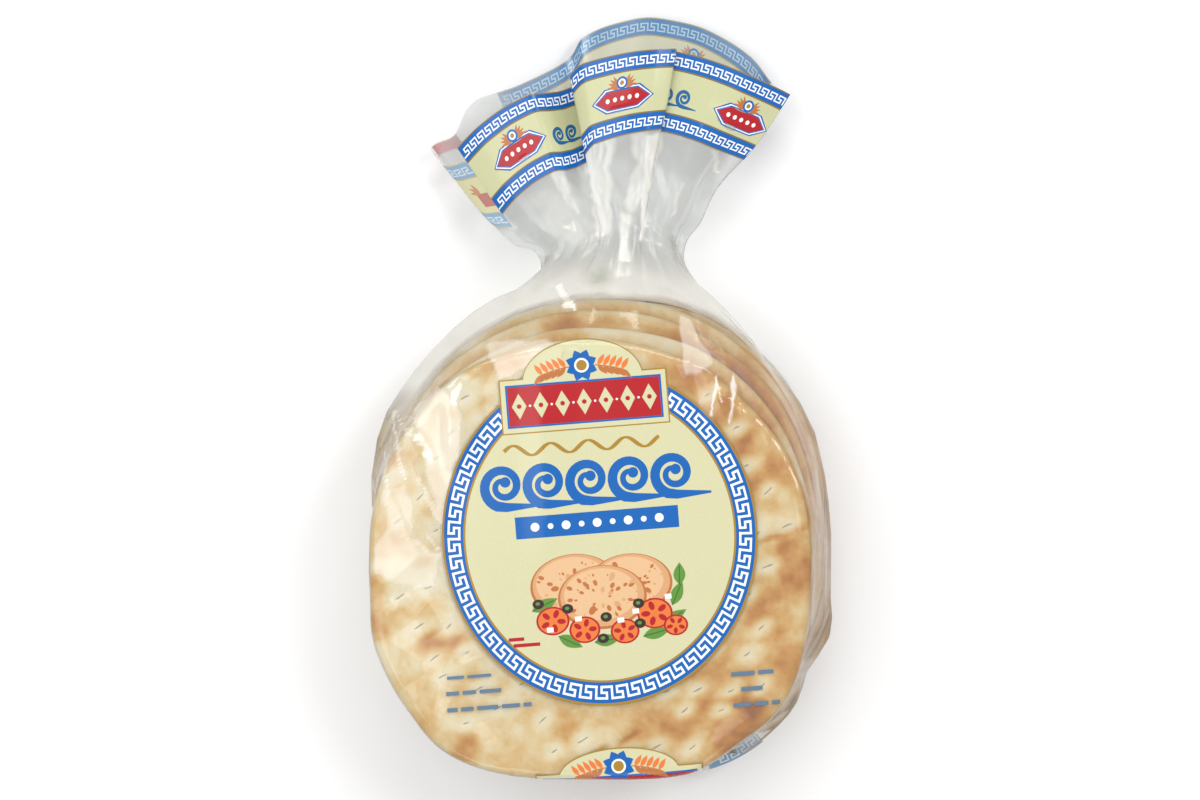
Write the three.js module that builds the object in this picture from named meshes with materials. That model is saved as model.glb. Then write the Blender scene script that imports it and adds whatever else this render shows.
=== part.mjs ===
// A clear film bag of ten round flat breads, lying on its back with the printed side up.
// Millimetres, +Z up, +Y towards the gathered mouth of the bag, +X to the right of the front.
// The origin is the middle of the flat underside, below the centre of the lowest bread.
// The sealed bag is one solid: the stack it is drawn over, the shoulders, the gathered
// neck and the pleated mouth. The closure tag behind the neck is a piece of its own.
import * as THREE from 'three';

// The stack of breads
const BREAD_R = 99.6;
const BREAD_THICK = 7.6;
const BREAD_COUNT = 10;
const STACK_H = BREAD_THICK * BREAD_COUNT;
const LEAN_X = -10;
const LEAN_Y = -19;

// The film drawn over it
const FILM_OFF = 1.5;
const BODY_R = BREAD_R + FILM_OFF;
const BODY_LEFT = 103.5;
const BODY_RIGHT = 105;
const BODY_TOP = STACK_H + FILM_OFF;
const BODY_MID = 38;
const LOW_CORNER_LEFT = 2.9;
const LOW_CORNER_RIGHT = 3.2;
const BODY_BOX = 8;
const END_ROUND = 10;

// The gathered neck
const NECK_LEFT = [-31.0, 114.4];
const NECK_RIGHT = [29.0, 118.4];
const NECK_TOP = 45;
const NECK_LOW = 24;
const NECK_MID = 34;
const NECK_BOW = 8;

// The fanned mouth
const TIP_LEFT = [-83.6, 167.5];
const TIP_RIGHT = [80.9, 194.3];
const MOUTH_TOP = 46;
const MOUTH_LOW = 7;
const MOUTH_MID = 27;
const FRONT_BOW = 28;
const BACK_BOW = 46;
const BOW_SKEW = 0.22;
const LEFT_BULGE = 3.5;
const RIGHT_WAIST = 2.5;

// The folds of the gathered film: where each crest stands across the bag, and its height
const FRONT_CRESTS = [-0.78, -0.55, -0.32, -0.1, 0.12, 0.36, 0.6, 0.82];
const BACK_CRESTS = [-0.8, -0.5, -0.22, 0.06, 0.34, 0.62, 0.84];
const FRONT_CREST_H = 2.2;
const BACK_CREST_H = 1.6;
const MOUTH_CREST_H = 3.5;
const PANEL_LEFT = -0.22;
const PANEL_RIGHT = 0.4;
const PANEL_UP = 5;
const DIP_AT = -0.27;
const DIP_DEEP = 7;

// The closure tag
const TAG_W = 20;
const TAG_H = 14;
const TAG_THICK = 1.2;
const TAG_CORNER = 2;
const TAG_AT = [-8, 110.5, 11.7];
const TAG_TILT = 52;

// Points across one face of the bag, and the stations along it
const ACROSS = 38;
const BODY_STATIONS = 19;
const SHOULDER_STATIONS = 13;
const FAN_STATIONS = 13;

const mix = (a, b, t) => a + (b - a) * t;
const smooth = (t) => t * t * (3 - 2 * t);
const clamp01 = (t) => Math.min(1, Math.max(0, t));

// A station is one closed outline round the bag. left and right are its two side
// points, bowTop and bowLow how far its front and back middles run ahead of them,
// box how square it is, and lean how far it follows the slide of the stack.
function bodyStation(y) {
  const run = Math.abs(y) / BODY_R;
  const cornerL = y < 0 ? LOW_CORNER_LEFT : 2.2;
  const cornerR = y < 0 ? LOW_CORNER_RIGHT : 2.2;
  const halfL = BODY_LEFT * Math.pow(1 - Math.pow(run, cornerL), 1 / cornerL);
  const halfR = BODY_RIGHT * Math.pow(1 - Math.pow(run, cornerR), 1 / cornerR);
  const rise = y < 0 ? Math.pow(1 - Math.pow(run, END_ROUND), 1 / END_ROUND) : 1;
  return {
    left: [-halfL, y],
    right: [halfR, y],
    bowTop: 0,
    bowLow: 0,
    top: BODY_MID + (BODY_TOP - BODY_MID) * rise,
    low: BODY_MID - (BODY_MID + 1) * rise,
    sideL: BODY_MID,
    sideR: BODY_MID,
    box: BODY_BOX,
    lean: 1,
  };
}

// The shoulders, from the widest part of the stack to the neck: distance along the
// stack, side reach left and right, height of the front and back middles, height of the
// two side edges, and squareness.
const SHOULDER = [
  [27, 105.0, 102.5, 77.5, -1, 42, 38, 7.6],
  [46, 101.5, 98.0, 77.5, -1, 48, 37, 6.6],
  [60, 96.5, 91.0, 77.5, -1, 52, 36, 5.4],
  [70, 90.0, 83.5, 77.5, -0.9, 52, 36, 4.7],
  [79, 83.5, 76.5, 77.5, -0.7, 50, 36, 4.2],
  [88, 75.5, 69.5, 77.3, -0.3, 47, 36, 3.7],
  [96, 67.5, 63.0, 76.0, 1, 44, 36, 3.2],
  [103, 59.0, 56.5, 71.0, 5, 42, 36, 2.8],
  [109, 49.0, 50.5, 63.0, 11, 40, 36, 2.5],
  [115, 36.0, 43.5, 54.0, 17, 38, 36, 2.3],
];

function shoulderStation(row) {
  return {
    left: [-row[1], row[0]],
    right: [row[2], row[0]],
    bowTop: 0,
    bowLow: 0,
    top: row[3],
    low: row[4],
    sideL: row[5],
    sideR: row[6],
    box: row[7],
    lean: 1,
  };
}

// From the neck (0) to the open mouth (1).
function fanStation(t) {
  const open = smooth(t);
  const swell = Math.sin(Math.PI * t);
  const leftX = mix(NECK_LEFT[0], TIP_LEFT[0], t) - 0.7 * LEFT_BULGE * swell;
  const leftY = mix(NECK_LEFT[1], TIP_LEFT[1], t) - 0.7 * LEFT_BULGE * swell;
  const rightX = mix(NECK_RIGHT[0], TIP_RIGHT[0], t) - 0.85 * RIGHT_WAIST * swell;
  const rightY = mix(NECK_RIGHT[1], TIP_RIGHT[1], t) + 0.5 * RIGHT_WAIST * swell;
  return {
    left: [leftX, leftY],
    right: [rightX, rightY],
    bowTop: mix(NECK_BOW, FRONT_BOW, t),
    bowLow: mix(NECK_BOW, BACK_BOW, t),
    top: mix(NECK_TOP, MOUTH_TOP, open),
    low: mix(NECK_LOW, MOUTH_LOW, open),
    sideL: mix(NECK_MID, MOUTH_MID, open),
    sideR: mix(NECK_MID, MOUTH_MID, open),
    box: mix(2.2, 2.8, t),
    lean: 0,
    open: t,
  };
}

// Blends two stations, number by number.
function blend(a, b, t) {
  const out = {};
  for (const key of Object.keys(a)) {
    const to = b[key] === undefined ? a[key] : b[key];
    out[key] = Array.isArray(a[key])
      ? [mix(a[key][0], to[0], t), mix(a[key][1], to[1], t)]
      : mix(a[key], to, t);
  }
  return out;
}

// Even steps along one face of a station, as [across -1..1, rise 0..1].
function faceSteps(halfWidth, height, box) {
  const fine = 240;
  const path = [];
  for (let i = 0; i <= fine; i += 1) {
    const a = -Math.PI / 2 + (Math.PI * i) / fine;
    const s = Math.sin(a);
    const c = Math.sign(s) * Math.pow(Math.abs(s), 2 / box);
    path.push([c, Math.pow(Math.max(0, Math.cos(a)), 2 / box)]);
  }
  const run = [0];
  for (let i = 1; i <= fine; i += 1) {
    const dx = (path[i][0] - path[i - 1][0]) * halfWidth;
    const dz = (path[i][1] - path[i - 1][1]) * height;
    run.push(run[i - 1] + Math.hypot(dx, dz));
  }
  const out = [];
  let k = 0;
  for (let j = 0; j <= ACROSS; j += 1) {
    const want = (run[fine] * j) / ACROSS;
    while (k < fine - 1 && run[k + 1] < want) {
      k += 1;
    }
    const t = (want - run[k]) / (run[k + 1] - run[k]);
    out.push([mix(path[k][0], path[k + 1][0], t), mix(path[k][1], path[k + 1][1], t)]);
  }
  return out;
}

// A fold line standing up at one place across the bag: sharp on its crest.
function fold(c, at, half) {
  return Math.max(0, 1 - Math.abs(c - at) / half);
}

// How far the film stands out in folds. near runs 0 on the body to 1 at the neck, and
// open 0 at the neck to 1 at the mouth, where the front is three overlapping panels:
// the left, the raised middle one and the right, with a dip beside the middle one.
function frontFold(c, near, open) {
  let crests = 0;
  for (const at of FRONT_CRESTS) {
    crests += fold(c, at, 0.1);
  }
  const panel = clamp01((c - PANEL_LEFT) / 0.06) * clamp01((PANEL_RIGHT - c) / 0.05);
  const panels = PANEL_UP * panel - DIP_DEEP * fold(c, DIP_AT, 0.1);
  return FRONT_CREST_H * crests * near * (1 - 0.7 * open) + panels * open;
}

function backFold(c, near, open) {
  let crests = 0;
  for (const at of BACK_CRESTS) {
    crests += fold(c, at, 0.13);
  }
  return crests * (BACK_CREST_H * near * (1 - open) + MOUTH_CREST_H * open);
}

// One closed outline of points, front face left to right, then back face right to left.
function outline(station, near) {
  const open = station.open || 0;
  const halfX = (station.right[0] - station.left[0]) / 2;
  const front = [];
  const back = [];
  const side = (c) => mix(station.sideL, station.sideR, (c + 1) / 2);
  const place = (c, z, bow) => {
    const t = (c + 1) / 2;
    const slide = (station.lean * z) / STACK_H;
    const x = mix(station.left[0], station.right[0], t) + LEAN_X * slide;
    const ahead = bow * (1 - c * c) * (1 + BOW_SKEW * c);
    const y = mix(station.left[1], station.right[1], t) + ahead + LEAN_Y * slide;
    return [x, y, z];
  };
  for (const [c, rise] of faceSteps(halfX, station.top - BODY_MID, station.box)) {
    const height = station.top - side(c) + frontFold(c, near, open);
    front.push(place(c, side(c) + height * rise, station.bowTop));
  }
  for (const [c, rise] of faceSteps(halfX, BODY_MID - station.low, station.box)) {
    const depth = side(c) - station.low + backFold(c, near, open);
    back.push(place(c, Math.max(0, side(c) - depth * rise), station.bowLow));
  }
  return [...front, ...back.slice(1, -1).reverse()];
}

// All the stations, from the closed end of the bag to its mouth.
function bagRings() {
  const rings = [];
  for (let i = 0; i < BODY_STATIONS; i += 1) {
    const turn = (Math.PI / 2) * Math.pow(i / BODY_STATIONS, 0.9);
    const y = -BODY_R * Math.cos(turn * 0.985 + 0.045);
    rings.push(outline(bodyStation(y), 0));
  }
  const widest = [6, BODY_LEFT, BODY_RIGHT, BODY_TOP, -1, BODY_MID, BODY_MID, BODY_BOX];
  const rows = [widest, ...SHOULDER].map(shoulderStation);
  rows.push(fanStation(0));
  const last = rows.length - 1;
  for (let i = 0; i < SHOULDER_STATIONS; i += 1) {
    const at = (last * i) / SHOULDER_STATIONS;
    const k = Math.floor(at);
    const near = smooth(clamp01((at - 4) / (last - 4)));
    rings.push(outline(blend(rows[k], rows[k + 1], at - k), near));
  }
  for (let i = 0; i <= FAN_STATIONS; i += 1) {
    rings.push(outline(fanStation(i / FAN_STATIONS), 1));
  }
  return rings;
}

// Skins the outlines. Each end is closed by a strip from the front face to the back one.
function skin(rings) {
  const n = rings[0].length;
  const points = rings.flat();
  const faces = [];
  const quad = (a, b, c, d) => {
    faces.push(a, b, c);
    faces.push(a, c, d);
  };
  for (let r = 0; r + 1 < rings.length; r += 1) {
    for (let j = 0; j < n; j += 1) {
      const k = (j + 1) % n;
      quad(r * n + j, r * n + k, (r + 1) * n + k, (r + 1) * n + j);
    }
  }
  const close = (base, flip) => {
    for (let j = 0; j < ACROSS; j += 1) {
      const strip = [j, j + 1, (n - j - 1) % n, (n - j) % n].map((v) => base + v);
      const [a, b, c, d] = flip ? [strip[1], strip[0], strip[3], strip[2]] : strip;
      if (j === 0) {
        flip ? faces.push(a, b, d) : faces.push(a, b, c);
      } else if (j === ACROSS - 1) {
        flip ? faces.push(a, b, c) : faces.push(a, b, d);
      } else {
        quad(a, b, c, d);
      }
    }
  };
  close(0, true);
  close((rings.length - 1) * n, false);
  const geometry = new THREE.BufferGeometry();
  geometry.setAttribute('position', new THREE.Float32BufferAttribute(points.flat(), 3));
  geometry.setIndex(faces);
  geometry.computeVertexNormals();
  return geometry;
}

// The tag: a small flat plate with rounded corners and a notch in its upper edge.
function tagGeometry() {
  const w = TAG_W / 2;
  const h = TAG_H / 2;
  const r = TAG_CORNER;
  const shape = new THREE.Shape();
  shape.moveTo(-w + r, -h);
  shape.lineTo(w - r, -h);
  shape.quadraticCurveTo(w, -h, w, -h + r);
  shape.lineTo(w, h - r);
  shape.quadraticCurveTo(w, h, w - r, h);
  shape.lineTo(2.2, h);
  shape.lineTo(1.4, h - 5);
  shape.lineTo(-1.4, h - 5);
  shape.lineTo(-2.2, h);
  shape.lineTo(-w + r, h);
  shape.quadraticCurveTo(-w, h, -w, h - r);
  shape.lineTo(-w, -h + r);
  shape.quadraticCurveTo(-w, -h, -w + r, -h);
  const plate = new THREE.ExtrudeGeometry(shape, {
    depth: TAG_THICK,
    bevelEnabled: false,
    curveSegments: 4,
  });
  plate.translate(0, 0, -TAG_THICK / 2);
  plate.rotateX((TAG_TILT * Math.PI) / 180);
  plate.translate(...TAG_AT);
  return plate;
}

const pack = new THREE.Group();
pack.name = 'flat_bread_pack';

const film = new THREE.MeshStandardMaterial({ name: 'clear_film', color: 0xd9d6cb });
film.roughness = 0.2;
const bag = new THREE.Mesh(skin(bagRings()), film);
bag.name = 'bag';
pack.add(bag);

const green = new THREE.MeshStandardMaterial({ name: 'green_plastic', color: 0x7fc8a0 });
green.roughness = 0.45;
const tag = new THREE.Mesh(tagGeometry(), green);
tag.name = 'neck_tag';
pack.add(tag);

export default pack;
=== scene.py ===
import math

import bpy
import numpy as np
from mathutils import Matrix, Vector
from mathutils.bvhtree import BVHTree
from mathutils.geometry import delaunay_2d_cdt


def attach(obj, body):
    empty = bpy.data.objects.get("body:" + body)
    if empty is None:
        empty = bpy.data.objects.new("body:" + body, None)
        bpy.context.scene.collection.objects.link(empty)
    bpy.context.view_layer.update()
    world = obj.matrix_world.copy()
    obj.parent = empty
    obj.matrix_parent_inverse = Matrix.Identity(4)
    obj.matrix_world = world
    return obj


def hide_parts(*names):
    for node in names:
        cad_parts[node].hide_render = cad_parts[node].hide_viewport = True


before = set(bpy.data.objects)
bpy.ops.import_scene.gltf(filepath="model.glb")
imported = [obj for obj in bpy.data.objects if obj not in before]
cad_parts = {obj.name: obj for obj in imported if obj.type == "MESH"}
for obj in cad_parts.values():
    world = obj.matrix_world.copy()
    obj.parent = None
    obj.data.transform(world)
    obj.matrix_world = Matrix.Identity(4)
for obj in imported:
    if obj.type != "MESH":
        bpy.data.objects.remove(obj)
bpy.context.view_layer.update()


# ------------ The breads
# Ten round leavened flat breads, baked on a hot stone: soft cream crumb with golden
# brown blotches where the dough puffed, and small slits where the docking roller pricked
# it. They lie loose in a pile that has slid towards the closed end of the bag.
MM = 0.001
BREAD_RADIUS = 99.6
BREAD_THICK = 7.6
BREAD_EDGE = 5.5  # how far in from the rim the face starts to round over
PILE = [  # centre of each bread, lowest first
    (0.0, 0.0), (-1.0, -2.0), (-2.0, -0.5), (-2.0, -3.0), (-3.0, -1.0), (-4.0, -4.0), (-5.0, -1.5),
    (-7.2, -6.8), (-9.0, -14.0), (-10.5, -19.4),
]
TOP = len(PILE) - 1  # the bread whose face shows
FACE_HEIGHT = BREAD_THICK / 2 - 0.35  # the plain face over the middle of the bread
DOCK_STEP = 16.0
DOCK_ANGLE = math.radians(34)


def shade(hex_colour):
    """A colour written as #rrggbb, as the linear numbers a shader takes."""
    parts = [int(hex_colour[i : i + 2], 16) / 255 for i in (1, 3, 5)]
    linear = [c / 12.92 if c <= 0.04045 else ((c + 0.055) / 1.055) ** 2.4 for c in parts]
    return (*linear, 1.0)


def patchy(x, y, size, seed):
    """Soft random blotches of about this size, from -1 to 1."""
    lattice = np.random.default_rng(seed).uniform(-1, 1, (67, 67))
    gx, gy = x / size + 31.7, y / size + 29.3
    ix, iy = np.floor(gx).astype(int), np.floor(gy).astype(int)
    fx, fy = gx - ix, gy - iy
    fx, fy = fx * fx * (3 - 2 * fx), fy * fy * (3 - 2 * fy)
    ix, iy = ix % 66, iy % 66
    low = lattice[ix, iy] * (1 - fx) + lattice[ix + 1, iy] * fx
    high = lattice[ix, iy + 1] * (1 - fx) + lattice[ix + 1, iy + 1] * fx
    return low * (1 - fy) + high * fy


def bell(x, y=0.0):
    """A smooth hump, 1 in the middle and nearly 0 by two steps out."""
    return np.exp(-(x**2) - y**2)


def bread_reach(angle, k):
    """Distance from the middle of bread k to its rim: round above, squarer below."""
    sine = np.sin(angle)
    square = np.where(sine < 0, 2.75 + 0.5 * sine**6, 2.08)
    across = np.abs(np.cos(angle)) ** square + np.abs(sine) ** square
    waves = ((0.6, 2, 1.7), (0.4, 3, 2.9), (0.3, 7, 4.1), (0.2, 11, 1))
    wave = sum(size * np.sin(count * angle + shift * k) for size, count, shift in waves)
    if k == TOP:
        turn = np.degrees(np.arctan2(sine, np.cos(angle)))
        for at, size, wide in ((-160, 1.7, 7), (-139, -2.3, 9), (-64, 0.7, 6), (-50, -2.9, 9)):
            wave += size * bell((turn - at) / wide)
    return BREAD_RADIUS * across ** (-1 / square) - 0.3 + wave


def dock_places(k):
    """Where the roller pricked bread k, and how each slit is turned."""
    draw = np.random.default_rng(400 + k)
    places = []
    steps = int(BREAD_RADIUS // DOCK_STEP) + 2
    for i in range(-steps, steps + 1):
        for j in range(-steps, steps + 1):
            x = (i + 0.5 * (j % 2)) * DOCK_STEP + draw.uniform(-3.5, 3.5)
            y = j * DOCK_STEP * 0.88 + draw.uniform(-3.5, 3.5)
            turn = DOCK_ANGLE + draw.uniform(-0.35, 0.35)
            skip = draw.uniform() < 0.18
            if not skip and math.hypot(x, y) < 0.92 * float(bread_reach(math.atan2(y, x), k)):
                places.append((x, y, turn))
    return places


# Where the top bread took most colour: place, size and strength.
BROWNED = [
    (-67, -39, 8, 0.52), (-58, -35, 9, 0.3), (-97, -28, 7, 0.42), (-98, 6, 6, 0.4), (-99, -8, 6, 0.3),
    (-83, -24, 7, 0.2), (-70, -20, 8, 0.16), (-76, -60, 11, 0.24), (-57, -63, 8, 0.2),
    (-72, -76, 9, 0.3), (-57, -83, 7, 0.42), (-38, -91, 11, 0.26), (-12, -79, 8, 0.3),
    (-78, 50, 8, 0.36), (-87, 44, 6, 0.4), (-44, 72, 7, 0.28), (-50, 86, 6, 0.36), (-62, 66, 6, 0.16),
    (-93, 28, 6, 0.2), (-80, 26, 8, 0.18), (-68, 24, 5, 0.2), (-96, 17, 5, 0.3), (-96, -14, 6, 0.3),
    (-76, -1, 4, 0.25), (-90, 12, 6, 0.25), (-36, 88, 10, 0.2), (44, 84, 9, 0.2), (60, 70, 8, 0.25),
    (70, 50, 7, 0.34), (80, 32, 9, 0.26), (80, 18, 5, -0.2), (90, 25, 6, -0.25), (94, -8, 10, 0.42),
    (86, 4, 7, 0.3), (82, -16, 8, 0.26), (96, 14, 7, 0.3), (87, 5, 6, 0.2), (80, -30, 8, 0.3),
    (90, -46, 9, 0.3), (54, -69, 9, 0.24), (72, -62, 9, 0.24), (66, -86, 10, 0.28), (22, -84, 8, 0.22),
    (40, -76, 9, 0.2),
]
# Folds in its face, where the dough buckled: from x, y to x, y.
BUCKLES = [
    (72, 7, 96, 14), (12, -84, 22, -77), (-62, -46, -52, -42), (-6, -92, 8, -84),
]


def run_beside(x, y, x1, y1, x2, y2):
    """How far along a line points lie, as a share of it, and how far to its left."""
    run = math.hypot(x2 - x1, y2 - y1)
    ux, uy = (x2 - x1) / run, (y2 - y1) / run
    dx, dy = x - x1, y - y1
    return (dx * ux + dy * uy) / run, dy * ux - dx * uy


def crust(x, y, k):
    """Height above the plain face in mm, and how dark the crust is, over the face of bread k: browning,
    with painted shade on the lower breads.
    """
    swell = 0.34 * patchy(x, y, 24, 11 + k) + 0.2 * patchy(x, y, 9, 31 + k)
    swell += 0.07 * patchy(x, y, 3.2, 41 + k)
    blotch = np.tanh(2 * patchy(x, y, 21, 51 + k)) + 0.7 * np.tanh(2 * patchy(x, y, 9, 71 + k))
    fleck = 0.05 * patchy(x, y, 4, 81 + k) + 0.04 * patchy(x, y, 2, 83 + k)
    if k == TOP:
        brown = 0.38 + 0.18 * np.tanh((x - 5) / 35) + 0.05 * np.tanh((-y - 55) / 20)
        brown += 0.11 * blotch + 1.4 * fleck
        wx, wy = x + 3.5 * patchy(x, y, 8, 91), y + 3.5 * patchy(x, y, 8, 92)
        for px, py, size, strength in BROWNED:
            off = ((wx - px) ** 2 + (wy - py) ** 2) / size**2
            brown += strength * np.exp(-(off**1.4))
        for x1, y1, x2, y2 in BUCKLES:
            along, off = run_beside(x, y, x1, y1, x2, y2)
            ends = (np.minimum(along, 1 - along) / 0.3 + 0.4).clip(0, 1)
            swell += ends * (0.35 * bell((off - 3.5) / 2.5) - 0.8 * bell(off / 1.1))
            # Each fold is also darker along its valley.
            brown += 0.5 * ends * bell((off + 0.3) / 1.2)
    else:
        inward = bread_reach(np.arctan2(y, x), k) - np.hypot(x, y)
        brown = 0.42 + 0.15 * blotch + fleck + (0.06, 0.14, -0.04)[k % 3]
        # Darker in a band a few mm in from the rim, where the bread above covers the edge: partly toasted
        # crust, partly painted shade. Paler right at the rim.
        brown += 0.16 * bell((inward - 7) / 3.5) - 0.12 * bell(inward / 2.5)
        # Darker towards the pile's right side: painted shade.
        brown += 0.26 * ((x - 50) / 40).clip(0, 1)
    pale = np.zeros_like(x)
    for px, py, turn in dock_places(k):
        along = (x - px) * math.cos(turn) + (y - py) * math.sin(turn)
        over = (y - py) * math.cos(turn) - (x - px) * math.sin(turn)
        pale = np.maximum(pale, bell(along / 7.0, over / 4.0))
        swell -= 0.5 * bell(along / 3.4, over / 1.8)
        swell += 0.16 * bell(along / 7.0, (over - 3.6) / 2.4)
    return swell.clip(-1.5, 0.7), brown * (1 - 0.8 * pale) - 0.04 * pale


def mesh_object(name, points, faces):
    """An object with this mesh, its points given in mm."""
    mesh = bpy.data.meshes.new(name)
    mesh.from_pydata((np.asarray(points) * MM).tolist(), [], faces)
    mesh.update()
    mesh.shade_smooth()
    piece = bpy.data.objects.new(name, mesh)
    bpy.context.scene.collection.objects.link(piece)
    return piece


def point_numbers(piece, name, values):
    """Gives each point of the mesh one number that its material can read."""
    layer = piece.data.attributes.new(name, "FLOAT", "POINT")
    layer.data.foreach_set("value", np.asarray(values, dtype=np.float32))


def bake_bread(k):
    """Bread k as one closed mesh: two faces and a rounded rim between them."""
    turns, steps, under = (360, 88, 14) if k == TOP else (180, 30, 30)
    angle = np.linspace(0, 2 * math.pi, turns, endpoint=False)
    rim = BREAD_EDGE / BREAD_RADIUS
    shares = np.linspace(0, 1, steps + 1)[1:] ** 0.9 * (1 - rim)
    low_shares = np.linspace(0, 1, under + 1)[1:] ** 0.9 * (1 - rim)
    # each ring of points: share of the reach, height, and how much of the relief it takes
    rings = [(share, FACE_HEIGHT, 1.0) for share in shares]
    for turn in np.linspace(0, math.pi, 13)[1:-1]:
        side = math.cos(turn)
        height = FACE_HEIGHT * math.copysign(abs(side) ** 0.8, side)
        rings.append((1 - rim * (1 - math.sin(turn)), height, side * 0.8))
    rings += [(share, -FACE_HEIGHT, -0.6) for share in low_shares[::-1]]
    share, height, relief = (np.repeat(column, turns) for column in np.array(rings).T)
    reach = np.tile(bread_reach(angle, k), len(rings)) * share
    across, up = reach * np.tile(np.cos(angle), len(rings)), reach * np.tile(np.sin(angle), len(rings))
    swell, brown = crust(across, up, k)
    brown = brown * (0.85 + 0.15 * (np.abs(height) / FACE_HEIGHT) ** 2)
    points = np.stack([across, up, height + relief * swell], 1)
    points = np.concatenate([[[0, 0, FACE_HEIGHT]], points, [[0, 0, -FACE_HEIGHT]]])
    faces = []
    last = len(points) - 1
    for j in range(turns):
        n = (j + 1) % turns
        faces.append((0, 1 + j, 1 + n))
        faces.append((last, last - turns + n, last - turns + j))
        for a in range(1, last - turns, turns):
            faces.append((a + j, a + turns + j, a + turns + n, a + n))
    middle = np.array([*PILE[k], (k + 0.5) * BREAD_THICK])
    bread = mesh_object(f"bread_{k + 1:02d}", points + middle, faces)
    point_numbers(bread, "browning_and_painted_shade", [brown[0], *brown, brown[-1]])
    return bread


def new_finish(name, roughness, specular=0.5):
    """A new material and its shader, with the shader's gloss set."""
    finish = bpy.data.materials.new(name)
    finish.use_nodes = True
    shader = finish.node_tree.nodes["Principled BSDF"]
    shader.inputs["Roughness"].default_value = roughness
    shader.inputs["Specular IOR Level"].default_value = specular
    return finish, shader


def add(finish, kind, sockets=(), operation=None, **named):
    """Adds a node and fills its sockets, each with a number or with another node's output."""
    node = finish.node_tree.nodes.new("ShaderNode" + kind)
    if operation:
        node.operation = operation
    for socket, value in (dict(sockets) | named).items():
        if isinstance(value, bpy.types.NodeSocket):
            finish.node_tree.links.new(value, node.inputs[socket])
        else:
            node.inputs[socket].default_value = value
    return node


def read_number(finish, name):
    """The number that each point of the mesh carries under this name."""
    node = add(finish, "Attribute")
    node.attribute_name = name
    return node.outputs["Fac"]


def colour_by(finish, shader, amount, stops):
    """Colours a shader through these stops as the amount goes from 0 to 1."""
    tone = add(finish, "ValToRGB", Fac=amount)
    ramp = tone.color_ramp
    while len(ramp.elements) < len(stops):
        ramp.elements.new(0.5)
    for element, (at, colour) in zip(ramp.elements, stops):
        element.position = at
        element.color = colour
    finish.node_tree.links.new(tone.outputs["Color"], shader.inputs["Base Color"])


def bread_finish():
    """Cream crumb to golden and dark brown, dull and faintly floury, with fine pores."""
    finish, shader = new_finish("baked_crust", 0.62, 0.35)
    where = add(finish, "TexCoord").outputs["Object"]
    mottle = add(finish, "TexNoise", Vector=where, Scale=190, Detail=6, Roughness=0.62)
    shift = add(finish, "Math", {0: read_number(finish, "browning_and_painted_shade"), 1: 0.22}, "SUBTRACT")
    parts = {0: mottle.outputs["Fac"], 1: 0.44, 2: shift.outputs[0]}
    uneven = add(finish, "Math", parts, "MULTIPLY_ADD")
    crumb = ((0.0, "#e0dac6"), (0.2, "#dbcfae"), (0.4, "#d3b985"))
    baked = ((0.58, "#c99f5e"), (0.78, "#b8803f"), (1.0, "#98633a"))
    stops = [(at, shade(colour)) for at, colour in crumb + baked]
    colour_by(finish, shader, uneven.outputs[0], stops)
    pores = add(finish, "TexNoise", Vector=where, Scale=900, Detail=4)
    bump = add(finish, "Bump", Strength=0.25, Distance=0.0006, Height=pores.outputs["Fac"])
    finish.node_tree.links.new(bump.outputs["Normal"], shader.inputs["Normal"])
    return finish


baked_crust = bread_finish()
for k in range(len(PILE)):
    bread = bake_bread(k)
    bread.data.materials.append(baked_crust)
    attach(bread, "root")


# ------------ The slits in the breads
# The docking roller leaves short cuts in the face. Each is a narrow furrow a few millimetres long,
# a little deeper than the crust round it; its dark colour is painted shade in the cut.
SLIT_LONG = 4.8
SLIT_WIDE = 0.62


def cut_slits(k):
    """The slits in the face of bread k: thin pointed furrows with a sunken middle."""
    draw = np.random.default_rng(600 + k)
    points, faces = [], []
    for px, py, turn in dock_places(k):
        length = SLIT_LONG * draw.uniform(0.6, 1.25)
        bend = draw.uniform(-0.5, 0.5)
        first = len(points)
        for i in range(7):
            t = i / 3 - 1
            wide = SLIT_WIDE * math.sqrt(1 - t * t) * draw.uniform(0.7, 1.3)
            for side in (-1, 0, 1):
                along = t * length / 2
                over = side * wide / 2 + bend * (1 - t * t) * 0.6
                x = px + along * math.cos(turn) - over * math.sin(turn)
                y = py + along * math.sin(turn) + over * math.cos(turn)
                points.append((x, y, 0.14 if side else 0.08))
        for a in range(first, first + 18, 3):
            faces.append((a, a + 3, a + 4, a + 1))
            faces.append((a + 1, a + 4, a + 5, a + 2))
    points = np.array(points)
    swell, _ = crust(points[:, 0], points[:, 1], k)
    points[:, 2] += FACE_HEIGHT + swell
    return points + np.array([*PILE[k], (k + 0.5) * BREAD_THICK]), faces


def grained(name, tones, scale, roughness, specular=0.5, detail=2.0):
    """A finish that wanders between two tones in a fine grain."""
    finish, shader = new_finish(name, roughness, specular)
    grain = add(finish, "TexNoise", Scale=scale, Detail=detail)
    colour_by(finish, shader, grain.outputs["Fac"], list(enumerate(tones)))
    return finish


slits = mesh_object("bread_slits", *cut_slits(TOP))
# The slits' dark grey-brown is painted shade in the cut.
slit_shade_finish = grained("docked_slit_shade", (shade("#8d8168"), shade("#b9ad8f")), 700, 0.8)
slits.data.materials.append(slit_shade_finish)
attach(slits, "root")


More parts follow.
